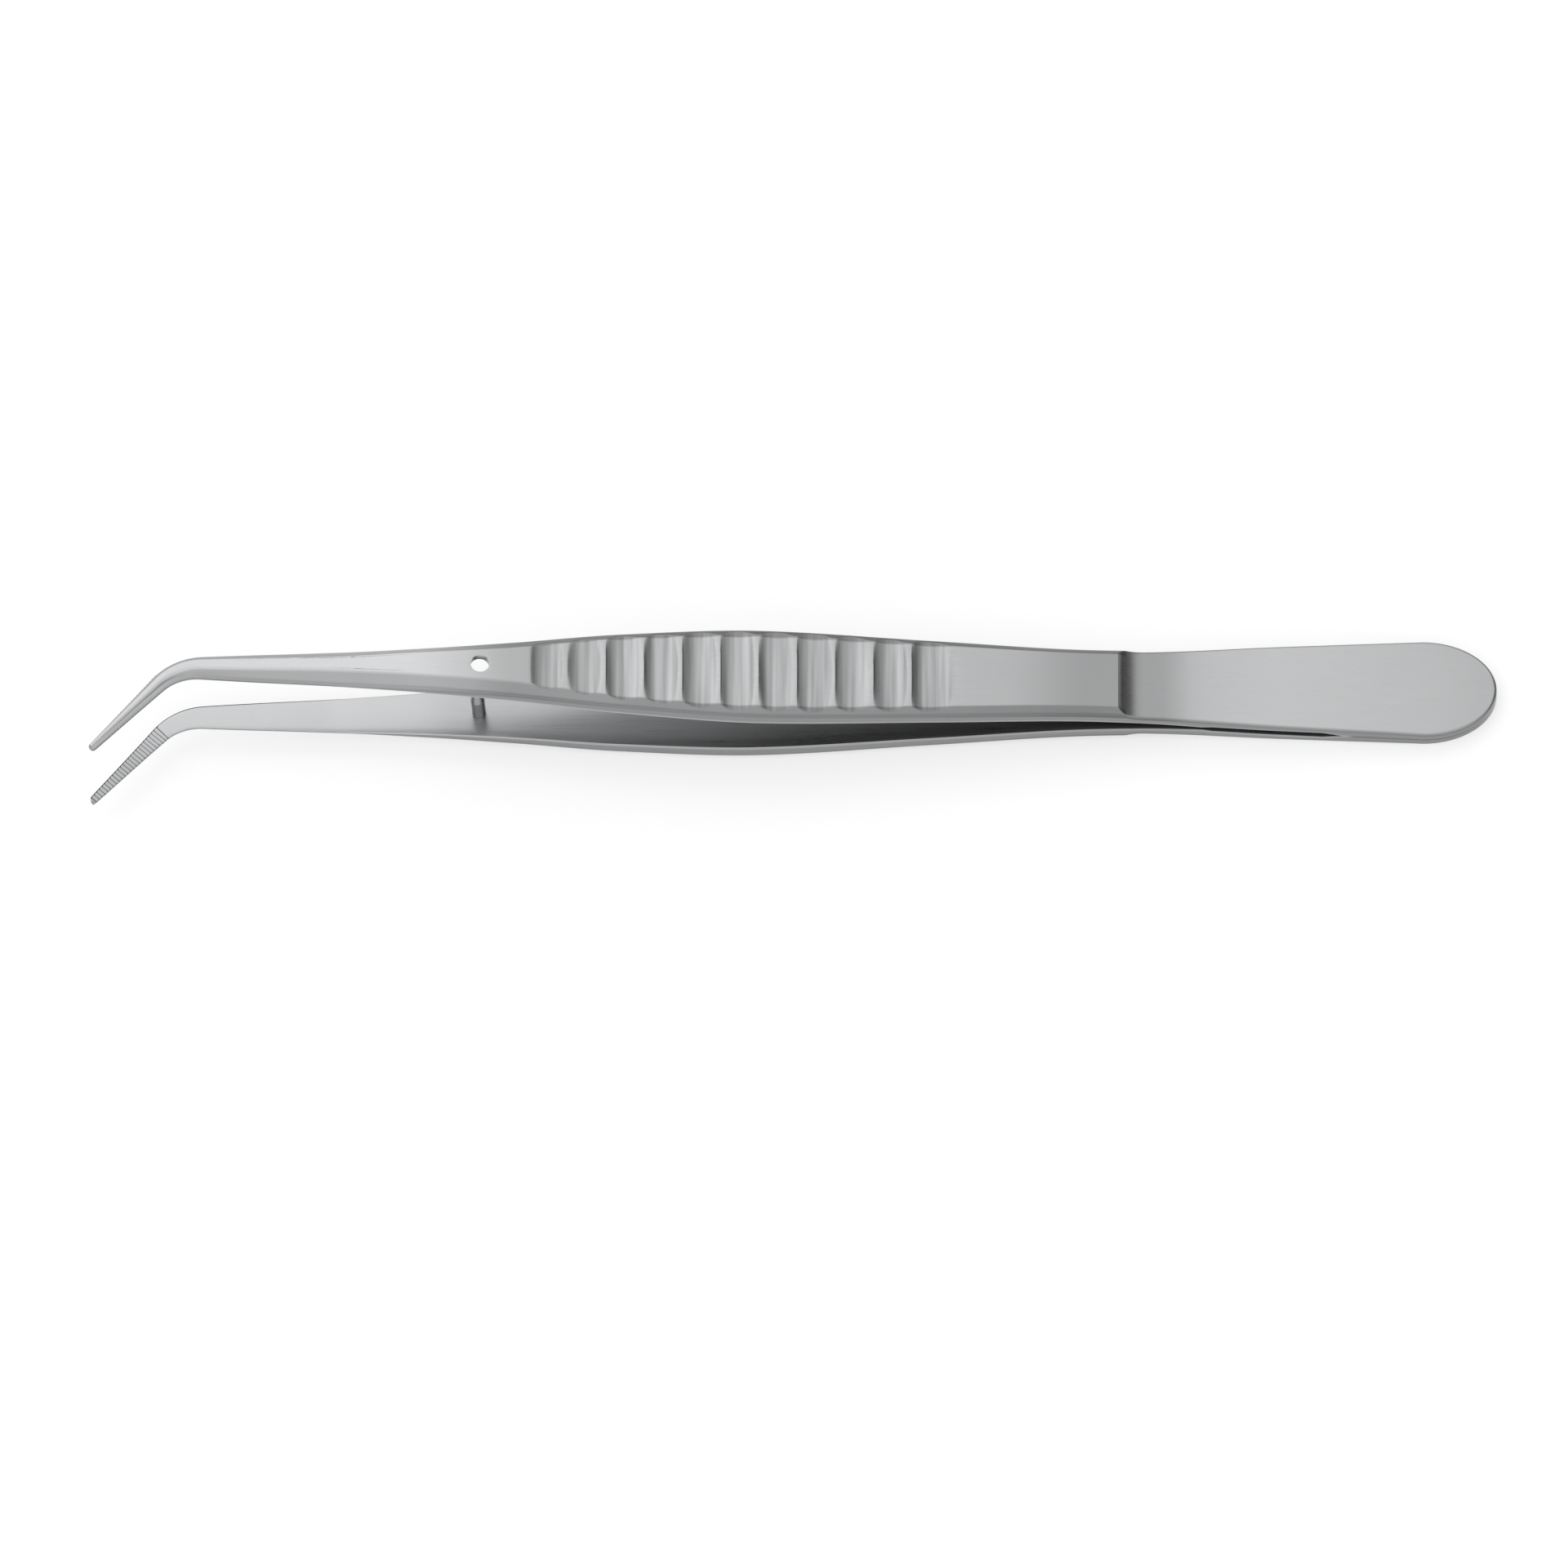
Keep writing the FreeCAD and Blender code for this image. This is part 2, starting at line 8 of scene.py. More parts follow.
import bpy
from bpy.types import ID, Material, Mesh, Node, NodeSocket, NodeTree, Object
from mathutils import Matrix, Vector

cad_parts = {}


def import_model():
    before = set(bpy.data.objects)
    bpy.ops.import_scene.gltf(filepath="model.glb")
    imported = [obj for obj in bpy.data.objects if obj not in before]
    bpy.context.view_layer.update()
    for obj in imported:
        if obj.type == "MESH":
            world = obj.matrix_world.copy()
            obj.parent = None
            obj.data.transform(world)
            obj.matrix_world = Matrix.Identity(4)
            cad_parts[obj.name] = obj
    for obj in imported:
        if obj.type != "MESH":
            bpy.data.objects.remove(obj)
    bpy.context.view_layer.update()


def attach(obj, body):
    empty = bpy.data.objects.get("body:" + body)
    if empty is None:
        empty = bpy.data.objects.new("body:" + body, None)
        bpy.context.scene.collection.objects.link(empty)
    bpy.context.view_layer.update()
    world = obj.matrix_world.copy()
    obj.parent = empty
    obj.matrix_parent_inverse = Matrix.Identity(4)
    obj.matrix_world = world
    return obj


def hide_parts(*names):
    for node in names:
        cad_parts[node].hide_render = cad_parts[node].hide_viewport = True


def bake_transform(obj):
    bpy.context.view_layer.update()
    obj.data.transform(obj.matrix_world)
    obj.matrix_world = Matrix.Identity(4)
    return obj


LOG = logging.getLogger("tweezers")
MILLIMETRE = 0.001
Triple = tuple[float, float, float]
Profile = tuple[tuple[float, float], ...]

# The drawing's frame is in millimetres: x is 0 at the butt end and falls towards
# the tips, z is the way in which the arms open, and the jaws bend towards -y.

# How finely the arm is divided along its length.
END_STEPS = 22
END_ANGLE = 2
BEND_STEPS = 14
TIP_ANGLES = range(0, 88, 6)
FLUTE_STEPS = (0.0, 0.45, 0.9, 1.3, 1.6, 1.8, 1.93, 2.03, 2.12)
SPRING_RINGS = (18.7, 21.0, 22.6, 24.2, 25.8, 27.4, 29.0, 30.6, 31.8, 33.0, 35.0, 36.5, 38.0, 39.0)

# The least distance between two rings, and from the last one to the end of the tip.
RING_GAP = 0.012
TIP_GAP = 0.0005

# Even runs of rings: spacing and count, after the start where no size of the arm gives it.
PADDLE_RUN = (1.15, 9)
RAMP_RUN = (0.14, 25)
WAIST_RUN = (44.0, 1.2, 14)
GRIP_END_RUN = (60.5, 0.5, 4)
BLADE_RUN = (110.3, 1.0, 37)

# How finely a section is divided, in shares of each stretch of it.
FLAT_SHARES = (0.0, 0.22, 0.44, 0.64, 0.82)
CORNER_SHARES = (-0.25, -0.1, 0.0, 0.1, 0.25)
BEVEL_SHARES = (0.37, 0.5, 0.63, 0.76, 0.88)
RIM_ANGLES = (0.0, 22.5, 45.0, 67.5, 90.0)
WALL_SHARES = (0.25, 0.5, 0.75)
LOWER_SHARES = (0.0, 0.35, 0.7)
ROUND_STEPS = 48

# The most that an edge or the flat takes of the half width, which shrinks to nothing at the ends.
OUTER_EDGE_LIMIT = 0.45
INNER_EDGE_LIMIT = 0.3
FLAT_GRID_LIMIT = 0.78
FLAT_FORM_LIMIT = 0.96

# A height above everything, a length that counts as none, and the least radius of an edge.
FAR = 99.0
NOTHING = 0.000001
LEAST_RADIUS = 0.0001


class Hand(Enum):
    """Which arm it is: the one on top, with the hole, or the one underneath."""

    UPPER = 1
    LOWER = -1


@dataclass(frozen=True)
class Rest:
    """How the drawing's frame is tilted and moved as the tweezers lie on the floor."""

    tilt: float = 3.129045
    shift: Triple = (80.094856, 2.365498, 0.979570)

    def turn(self) -> Matrix:
        """Returns the tilt alone."""
        return Matrix.Rotation(math.radians(self.tilt), 4, "Y")

    def matrix(self) -> Matrix:
        """Returns the step from drawing millimetres to metres on the floor."""
        move = Matrix.Translation(Vector(self.shift) * MILLIMETRE)
        return move @ self.turn() @ Matrix.Scale(MILLIMETRE, 4)


@dataclass(frozen=True)
class Curve:
    """A smooth line through stations that never overshoots them."""

    places: tuple[float, ...]
    values: tuple[float, ...]

    def slopes(self) -> list[float]:
        """Works out how steep the line is.

        Returns:
            The slope at each station, flat wherever the line turns back.
        """
        steps = [b - a for a, b in zip(self.places, self.places[1:])]
        rises = [(b - a) / step for a, b, step in zip(self.values, self.values[1:], steps)]
        inner = []
        for before, after, rise_before, rise_after in zip(steps, steps[1:], rises, rises[1:]):
            if rise_before * rise_after <= 0:
                inner.append(0.0)
                continue
            heavy = 2 * after + before
            light = after + 2 * before
            inner.append((heavy + light) / (heavy / rise_before + light / rise_after))
        return [rises[0], *inner, rises[-1]]

    def at(self, place: float) -> float:
        """Reads the line.

        Args:
            place: Distance along the arm, in millimetres.

        Returns:
            The value there, held level past either end.
        """
        if place <= self.places[0]:
            return self.values[0]
        if place >= self.places[-1]:
            return self.values[-1]
        index = bisect_right(self.places, place) - 1
        step = self.places[index + 1] - self.places[index]
        share = (place - self.places[index]) / step
        slopes = self.slopes()
        first, second = self.values[index], self.values[index + 1]
        rest = 1 - share
        return (first * (1 + 2 * share) * rest ** 2 + step * slopes[index] * share * rest ** 2
                + second * (3 - 2 * share) * share ** 2
                - step * slopes[index + 1] * rest * share ** 2)


@dataclass
class Field:
    """A value in a node tree, with arithmetic that adds Math nodes."""

    tree: NodeTree
    socket: NodeSocket

    def math(self, operation: str, *others: "Field | float") -> "Field":
        """Returns the result of one Math node."""
        inputs = dict(enumerate((self, *others)))
        node = add_node(self.tree, "ShaderNodeMath", inputs, operation=operation)
        return Field(self.tree, node.outputs[0])

    def __add__(self, other: "Field | float") -> "Field":
        """Adds."""
        return self.math("ADD", other)

    def __sub__(self, other: "Field | float") -> "Field":
        """Subtracts."""
        return self.math("SUBTRACT", other)

    def __mul__(self, other: "Field | float") -> "Field":
        """Multiplies."""
        return self.math("MULTIPLY", other)

    def __truediv__(self, other: "Field | float") -> "Field":
        """Divides."""
        return self.math("DIVIDE", other)

    def flipped(self) -> "Field":
        """Returns what is missing from this value to 1."""
        return (self * -1.0) + 1.0

    def least(self, other: "Field | float") -> "Field":
        """Returns the smaller of two values."""
        return self.math("MINIMUM", other)

    def blended(self, other: "Field", softness: "Field") -> "Field":
        """Returns the smaller of two values, with the change between them rounded."""
        return self.math("SMOOTH_MIN", other, softness)

    def most(self, other: "Field | float") -> "Field":
        """Returns the larger of two values."""
        return self.math("MAXIMUM", other)

    def toward(self, other: "Field", share: "Field") -> "Field":
        """Returns a value part of the way from this one to the other."""
        return self + (other - self) * share

    def smooth_step(self, low: float, high: float) -> "Field":
        """Returns 0 up to one value and 1 from another on, with a soft change between them."""
        inputs = {"Value": self, "From Min": low, "From Max": high}
        ramp = add_node(self.tree, "ShaderNodeMapRange", inputs, interpolation_type="SMOOTHSTEP")
        return Field(self.tree, ramp.outputs["Result"])


def add_node(tree: NodeTree, kind: str, inputs: dict[str | int, object],
             **settings: object) -> Node:
    """Adds a node.

    Args:
        tree: The tree that it joins.
        kind: Its type.
        inputs: A link or a plain value for inputs by name or number.
        settings: Its own properties, which are set before its inputs.

    Returns:
        The node.
    """
    node = tree.nodes.new(kind)
    for name, value in settings.items():
        setattr(node, name, value)
    for name, value in inputs.items():
        if isinstance(value, Field):
            tree.links.new(value.socket, node.inputs[name])
        elif isinstance(value, NodeSocket):
            tree.links.new(value, node.inputs[name])
        else:
            node.inputs[name].default_value = value
    return node


def split(tree: NodeTree, socket: NodeSocket) -> list[Field]:
    """Returns the three parts of a vector."""
    node = add_node(tree, "ShaderNodeSeparateXYZ", {0: socket})
    return [Field(tree, output) for output in node.outputs]


def stored(tree: NodeTree, name: str) -> Field:
    """Returns a size that the mesh's points carry, in a geometry tree."""
    node = add_node(tree, "GeometryNodeInputNamedAttribute", {"Name": name}, data_type="FLOAT")
    return Field(tree, node.outputs[0])


def painted(tree: NodeTree, name: str) -> Field:
    """Returns a value that the mesh's points carry, in a material."""
    node = add_node(tree, "ShaderNodeAttribute", {}, attribute_name=name)
    return Field(tree, node.outputs["Fac"])


def mixed_colour(tree: NodeTree, share: "Field | float", first: object, second: object,
                 blend: str = "MIX") -> NodeSocket:
    """Returns a share of the second colour over the first. Each is a colour or a link to one."""
    node = add_node(tree, "ShaderNodeMix", {"Factor": share, "A": first, "B": second},
                    data_type="RGBA", blend_type=blend)
    return node.outputs["Result"]


def edge_drop(rim: Field, radius: Field) -> Field:
    """Returns how far a rounded edge has dropped at a distance from the rim."""
    outward = (rim / radius.most(LEAST_RADIUS)).least(1.0).flipped()
    return radius * (outward * outward).flipped().most(0.0).math("SQRT").flipped()


def add_object(name: str, data: ID) -> Object:
    """Returns a new object in the scene for a mesh, camera or lamp."""
    made = bpy.data.objects.new(name, data)
    bpy.context.collection.objects.link(made)
    return made


def evaluated_mesh(shape: Object) -> Mesh:
    """Returns the plain mesh that an object's modifiers make."""
    graph = bpy.context.evaluated_depsgraph_get()
    graph.update()
    return bpy.data.meshes.new_from_object(
        shape.evaluated_get(graph), preserve_all_data_layers=True, depsgraph=graph)


def lathe(name: str, profile: list[tuple[float, float]], place: Matrix) -> Object:
    """Turns a profile about its own z axis into a closed mesh.

    Args:
        name: Name for the object.
        profile: Radius and height of each corner, from the lower pole to the upper one.
        place: Where the axis stands.

    Returns:
        The object, with its place in its mesh.
    """
    points = [place @ Vector((0.0, 0.0, profile[0][1]))]
    for radius, height in profile[1:-1]:
        for step in range(ROUND_STEPS):
            angle = 2 * math.pi * step / ROUND_STEPS
            corner = (radius * math.cos(angle), radius * math.sin(angle), height)
            points.append(place @ Vector(corner))
    points.append(place @ Vector((0.0, 0.0, profile[-1][1])))
    last = len(points) - 1
    top = last - ROUND_STEPS
    faces = []
    for step in range(ROUND_STEPS):
        after = (step + 1) % ROUND_STEPS
        faces.append([0, 1 + after, 1 + step])
        faces.append([top + step, top + after, last])
        for row in range(len(profile) - 3):
            low = 1 + row * ROUND_STEPS
            high = low + ROUND_STEPS
            faces.append([low + step, low + after, high + after, high + step])
    mesh = bpy.data.meshes.new(name)
    mesh.from_pydata(points, [], faces)
    return add_object(name, mesh)


def shade(mesh: Mesh, angle: float) -> None:
    """Shades a mesh smooth, but for edges sharper than the angle in degrees."""
    mesh.polygons.foreach_set("use_smooth", [True] * len(mesh.polygons))
    mesh.set_sharp_from_angle(angle=math.radians(angle))


def standing_frame(sizes: "ArmSizes", rest: Rest, hand: Hand, place: float) -> Matrix:
    """Stands a frame on an arm's inner face.

    Args:
        sizes: Sizes of the arms.
        rest: How the tweezers lie.
        hand: Which arm it is.
        place: Distance along the middle line.

    Returns:
        The frame, whose z axis is at right angles to the face.
    """
    lean = math.atan(sizes.arm_rise) * hand.value
    stand = Matrix.Translation((-place, 0.0, hand.value * sizes.lift(place)))
    return rest.matrix() @ stand @ Matrix.Rotation(lean, 4, "Y")


def even_run(start: float, spacing: float, count: int) -> list[float]:
    """Returns evenly spaced places."""
    return [start + spacing * step for step in range(count)]


@dataclass
class ArmSizes:
    """Sizes of one arm, in millimetres from the butt end along its middle line."""

    # Places, from the butt end on.
    weld_end: float = 17.5
    taper_end: float = 19.9
    relief_end: float = 32.4
    step_end: float = 33.6
    ramp_foot: float = 40.2
    foot: float = 41.2
    waist: float = 46.0
    fore: float = 99.7
    flute_place: float = 107.9
    knee: float = 133.0
    run: float = 147.3

    # Rounded butt end, bend and tip.
    end_depth: float = 8.3
    end_half_width: float = 6.05
    bend_radius: float = 6.75
    bend_angle: float = 47.8
    jaw_length: float = 11.4
    tip_radius: float = 0.47

    # Heights, and rises for each millimetre along.
    butt_thickness: float = 0.98
    paddle_rise: float = 0.0235
    relief_half_gap: float = 0.48
    slit_half_gap: float = 0.30
    arm_rise: float = 0.0525
    blade_rise: float = 0.026
    waist_thickness: float = 2.33
    fore_thickness: float = 2.66

    # Ramp from the paddle up to the grip, and the rounded edges.
    ramp_run: float = 3.2
    ramp_rise: float = 1.9
    ramp_softness: float = 0.06
    outer_edge: float = 0.30
    inner_edge: float = 0.12

    # Flutes of the grip. They differ a little in depth, and the last one runs out more gently.
    flute_pitch: float = 4.35
    flute_count: int = 11
    flute_depth: float = 0.42
    flute_land: float = 0.22
    flute_softness: float = 0.16
    flute_wander: float = 0.025
    wander_turn: float = 2.4
    last_flute_stretch: float = 0.4

    # Teeth of the jaw.
    tooth_setback: float = -0.50
    tooth_pitch: float = 0.46
    tooth_count: int = 26
    tooth_depth: float = 0.10
    tooth_land: float = 0.06

    # Half widths of the arm and of its flat, heights of its side wall and its middle, and
    # how softly the bevels meet the flat, at stations along it.
    stations: dict[str, tuple[float, ...]] = field(default_factory=lambda: {
        "place": (8.3, 24.75, 41.2, 46.0, 64.0, 84.0, 99.7, 112.0, 122.0, 133.0, 147.3, 152.93,
                  164.33),
        "width": (6.05, 5.22, 4.31, 4.26, 4.87, 5.52, 4.68, 3.45, 2.68, 2.10, 1.42, 1.0, 0.44),
        "flat": (3.41, 3.41, 3.41, 3.41, 3.86, 4.42, 3.55, 2.14, 1.42, 0.84, 0.62, 0.45, 0.2),
        "side": (1.62, 1.62, 1.62, 1.62, 1.72, 1.95, 1.78, 1.45, 0.95, 0.35, 0.28, 0.3, 0.28),
        "thick": (2.12, 2.21, 2.30, 2.33, 2.441, 2.564, 2.66, 2.60, 2.40, 1.80, 1.32, 1.22, 0.92),
        "soft": (0.09, 0.09, 0.09, 0.09, 0.09, 0.09, 0.09, 0.10, 0.16, 0.26, 0.46, 0.70, 0.60),
    })

    # How far the fluted face is domed across.
    crown: Curve = Curve((54.0, 62.0, 102.0, 112.0), (0.0, 0.13, 0.13, 0.0))

    # How bright the outer face, the inner face and the bevels are: partly their finish and partly
    # painted shade, which darkens the inner face in the gap between the arms, the outer face round
    # the shoulder and the bevels of the grip.
    outer_polish_and_shade: Curve = Curve(
        (0.0, 9.0, 25.0, 34.0, 38.5, 46.0, 57.0, 100.0, 112.0, 118.0, 124.0, 150.0, 165.0),
        (0.68, 0.74, 0.80, 0.74, 0.53, 0.52, 0.70, 0.80, 0.68, 0.86, 0.97, 0.94, 0.90))
    inner_polish_and_shade: Curve = Curve(
        (30.0, 57.0, 77.0, 91.0, 100.0, 111.0, 118.0, 124.0, 150.0, 158.0),
        (0.55, 0.55, 0.61, 0.66, 0.67, 0.71, 0.74, 0.84, 0.86, 0.72))
    bevel_shade: Curve = Curve(
        (41.0, 46.0, 57.0, 95.0, 108.0, 118.0, 130.0, 146.0, 153.0),
        (0.58, 0.54, 0.30, 0.30, 0.50, 0.62, 0.56, 0.56, 0.70))

    def curve(self, name: str) -> Curve:
        """Returns the smooth line through one of the stations' sizes."""
        return Curve(self.stations["place"], self.stations[name])

    def jaw_start(self) -> float:
        """Returns where the bend ends and the straight jaw starts."""
        return self.run + self.bend_radius * math.radians(self.bend_angle)

    def length(self) -> float:
        """Returns the whole length of the middle line."""
        return self.jaw_start() + self.jaw_length

    def tip_start(self) -> float:
        """Returns where the rounding of the tip starts."""
        return self.length() - self.tip_radius

    def forward(self, place: float) -> float:
        """Follows the middle line round the bend.

        Args:
            place: Distance along the middle line.

        Returns:
            How far towards the tips that is.
        """
        turn = min(max((place - self.run) / self.bend_radius, 0.0), math.radians(self.bend_angle))
        jaw = max(place - self.jaw_start(), 0.0)
        return min(place, self.run) + self.bend_radius * math.sin(turn) + jaw * math.cos(turn)

    def lift(self, place: float) -> float:
        """Works out the height of the inner face.

        Args:
            place: Distance along the middle line.

        Returns:
            Its height above the middle plane.
        """
        if place <= self.weld_end:
            return 0.0
        if place <= self.taper_end:
            return self.relief_half_gap * (place - self.weld_end) / (self.taper_end - self.weld_end)
        if place <= self.relief_end:
            return self.relief_half_gap
        if place <= self.step_end:
            share = (place - self.relief_end) / (self.step_end - self.relief_end)
            return self.relief_half_gap + (self.slit_half_gap - self.relief_half_gap) * share
        knee_lift = self.slit_half_gap + self.arm_rise * (min(place, self.knee) - self.step_end)
        return knee_lift + self.blade_rise * max(self.forward(place) - self.knee, 0.0)

    def paddle_face(self, place: float) -> float:
        """Returns the height of the paddle's outer face."""
        return self.butt_thickness + self.paddle_rise * place

    def ramp(self, place: float) -> float:
        """Works out the height of the paddle's face and of the concave ramp up from it.

        Args:
            place: Distance along the middle line.

        Returns:
            The height, far above everything past the ramp.
        """
        share = (place - self.ramp_foot) / self.ramp_run
        if share <= 0:
            return self.paddle_face(place)
        if share >= 1:
            return FAR
        return self.paddle_face(place) + self.ramp_rise * (1 - math.sqrt(1 - share ** 2))

    def half_width(self, place: float) -> float:
        """Works out half the width of the arm, with its two rounded ends.

        Args:
            place: Distance along the middle line.

        Returns:
            Half the width there.
        """
        if place < self.end_depth:
            share = 1 - place / self.end_depth
            return self.end_half_width * math.sqrt(max(1 - share ** 2, 0.0))
        tapered = self.curve("width").at(place)
        past = place - self.tip_start()
        if past > 0:
            return min(tapered, math.sqrt(max(self.tip_radius ** 2 - past ** 2, 0.0)))
        return tapered

    def rim_distance(self, place: float, across: float) -> float:
        """Works out how far a point of the outer face is from its rim.

        Args:
            place: Distance along the middle line.
            across: Distance to the side of it.

        Returns:
            The distance from the rim.
        """
        past = place - self.tip_start()
        if past > 0:
            return max(self.tip_radius - math.hypot(past, across), 0.0)
        if place >= self.end_depth:
            return max(self.half_width(place) - abs(across), 0.0)
        back = 1 - place / self.end_depth
        side = across / self.end_half_width
        level = math.hypot(back, side)
        if level < NOTHING:
            return self.end_depth
        steepness = math.hypot(back / self.end_depth, side / self.end_half_width) / level
        return max((1 - level) / steepness, 0.0)

    def ring_places(self) -> list[float]:
        """Divides the arm along its length, finely where its form changes fast.

        Returns:
            The places of the rings, from the butt end to the tip.
        """
        turns = [END_ANGLE + (90 - END_ANGLE) * step / END_STEPS for step in range(END_STEPS)]
        places = [self.end_depth * (1 - math.cos(math.radians(turn))) for turn in turns]
        places += even_run(self.end_depth, *PADDLE_RUN) + even_run(self.ramp_foot, *RAMP_RUN)
        places += [self.weld_end, self.taper_end, self.relief_end, self.step_end, *SPRING_RINGS]
        places += even_run(*WAIST_RUN) + even_run(*GRIP_END_RUN) + even_run(*BLADE_RUN)
        for index in range(self.flute_count):
            centre = self.flute_place - self.flute_pitch * index
            places += [centre + sign * offset for sign in (-1, 1) for offset in FLUTE_STEPS]
        bend = self.jaw_start() - self.run
        places += [self.run + bend * step / BEND_STEPS for step in range(BEND_STEPS + 1)]
        groove = (self.tooth_pitch - self.tooth_land) / 2
        for index in range(self.tooth_count):
            centre = self.jaw_start() + self.tooth_setback + self.tooth_pitch * index
            places += [centre + offset for offset in (-groove, 0.0, groove)]
        tip = self.tip_start()
        places += [tip + self.tip_radius * math.sin(math.radians(angle)) for angle in TIP_ANGLES]
        kept: list[float] = []
        for place in sorted(places):
            if place > self.length() - TIP_GAP:
                continue
            if not kept or place - kept[-1] > RING_GAP:
                kept.append(place)
        return kept


@dataclass(frozen=True)
class SectionPoint:
    """A point of one section, with its distance from the middle line and from the rim.

    Its share is 1 on the outer face and 0 on the inner one, its tone is 1 in the faces' colour
    and 0 in the side wall's darker colour, which is painted shade, and its polish is how bright it
    is: partly its finish and partly painted shade.
    """

    across: float
    share: float
    rim: float
    tone: float
    polish: float = 1.0


def mirrored(points: list[SectionPoint]) -> list[SectionPoint]:
    """Returns points in turn on the other side of the middle line."""
    return [replace(point, across=-point.across) for point in points]


@dataclass
class FormRules:
    """The rules for an arm's form, written as parts of its node tree."""

    tree: NodeTree
    given: dict[str, Field]
    place: Field
    across: Field

    def outer_face(self) -> Field:
        """Forms the outer face before its flutes: bevels, flat, ramp and paddle.

        Returns:
            The height of the face.
        """
        names = ("half_width", "flat", "side", "thick", "lift", "crown", "soft", "ramp")
        width, flat, side, thick, lift, crown, soft, ramp = [
            stored(self.tree, name) for name in names]
        climb = (width - self.across.math("ABSOLUTE")) / (width - flat)
        bevel = lift + side + (thick - side) * climb
        top = lift + thick - crown * (self.across * self.across) / (flat * flat)
        return bevel.blended(top, soft).blended(ramp, self.given["Ramp Softness"])

    def flute_level(self) -> Field:
        """Forms the flutes.

        Returns:
            The level that the nearest flute cuts the outer face down to.
        """
        given = self.given
        turn = (given["Flute Place"] - self.place) / given["Flute Pitch"]
        index = turn.math("ROUND").most(0.0).least(given["Last Flute"])
        back = index * given["Flute Pitch"]
        offset = self.place - (given["Flute Place"] - back)
        last = index.math("GREATER_THAN", given["Last Flute"] - 0.5)
        offset = offset * (last * offset.math("LESS_THAN", 0.0) * given["Last Stretch"]).flipped()
        radius = given["Flute Radius"]
        under = (radius * radius - offset * offset).most(0.0).math("SQRT")
        uneven = (index * given["Wander Turn"]).math("SINE") * given["Flute Wander"]
        return given["Flute Level"] - given["Flute Slope"] * back - under + uneven

    def inner_face(self) -> Field:
        """Forms the inner face, with the jaw's teeth cut into it.

        Returns:
            The height of the face.
        """
        given = self.given
        turn = (self.place - given["Tooth Place"]) / given["Tooth Pitch"]
        index = turn.math("ROUND").most(0.0).least(given["Last Tooth"])
        offset = (self.place - given["Tooth Place"] - index * given["Tooth Pitch"]).math("ABSOLUTE")
        groove = (offset / given["Tooth Reach"]).flipped().most(0.0) * given["Tooth Depth"]
        rounding = edge_drop(stored(self.tree, "rim"), stored(self.tree, "inner_edge"))
        return stored(self.tree, "lift") + groove + rounding

    def bent(self) -> tuple[Field, Field]:
        """Bends the jaw to the side.

        Returns:
            The x and y that a point of the unbent arm comes to.
        """
        radius, run, angle = [self.given[name] for name in ("Bend Radius", "Run", "Bend Angle")]
        turn = ((self.place - run) / radius).most(0.0).least(angle)
        jaw = (self.place - run - radius * angle).most(0.0)
        sine = turn.math("SINE")
        cosine = turn.math("COSINE")
        forward = self.place.least(run) + radius * sine + jaw * cosine
        aside = radius * cosine.flipped() + jaw * sine
        return forward * -1.0 - sine * self.across, cosine * self.across - aside


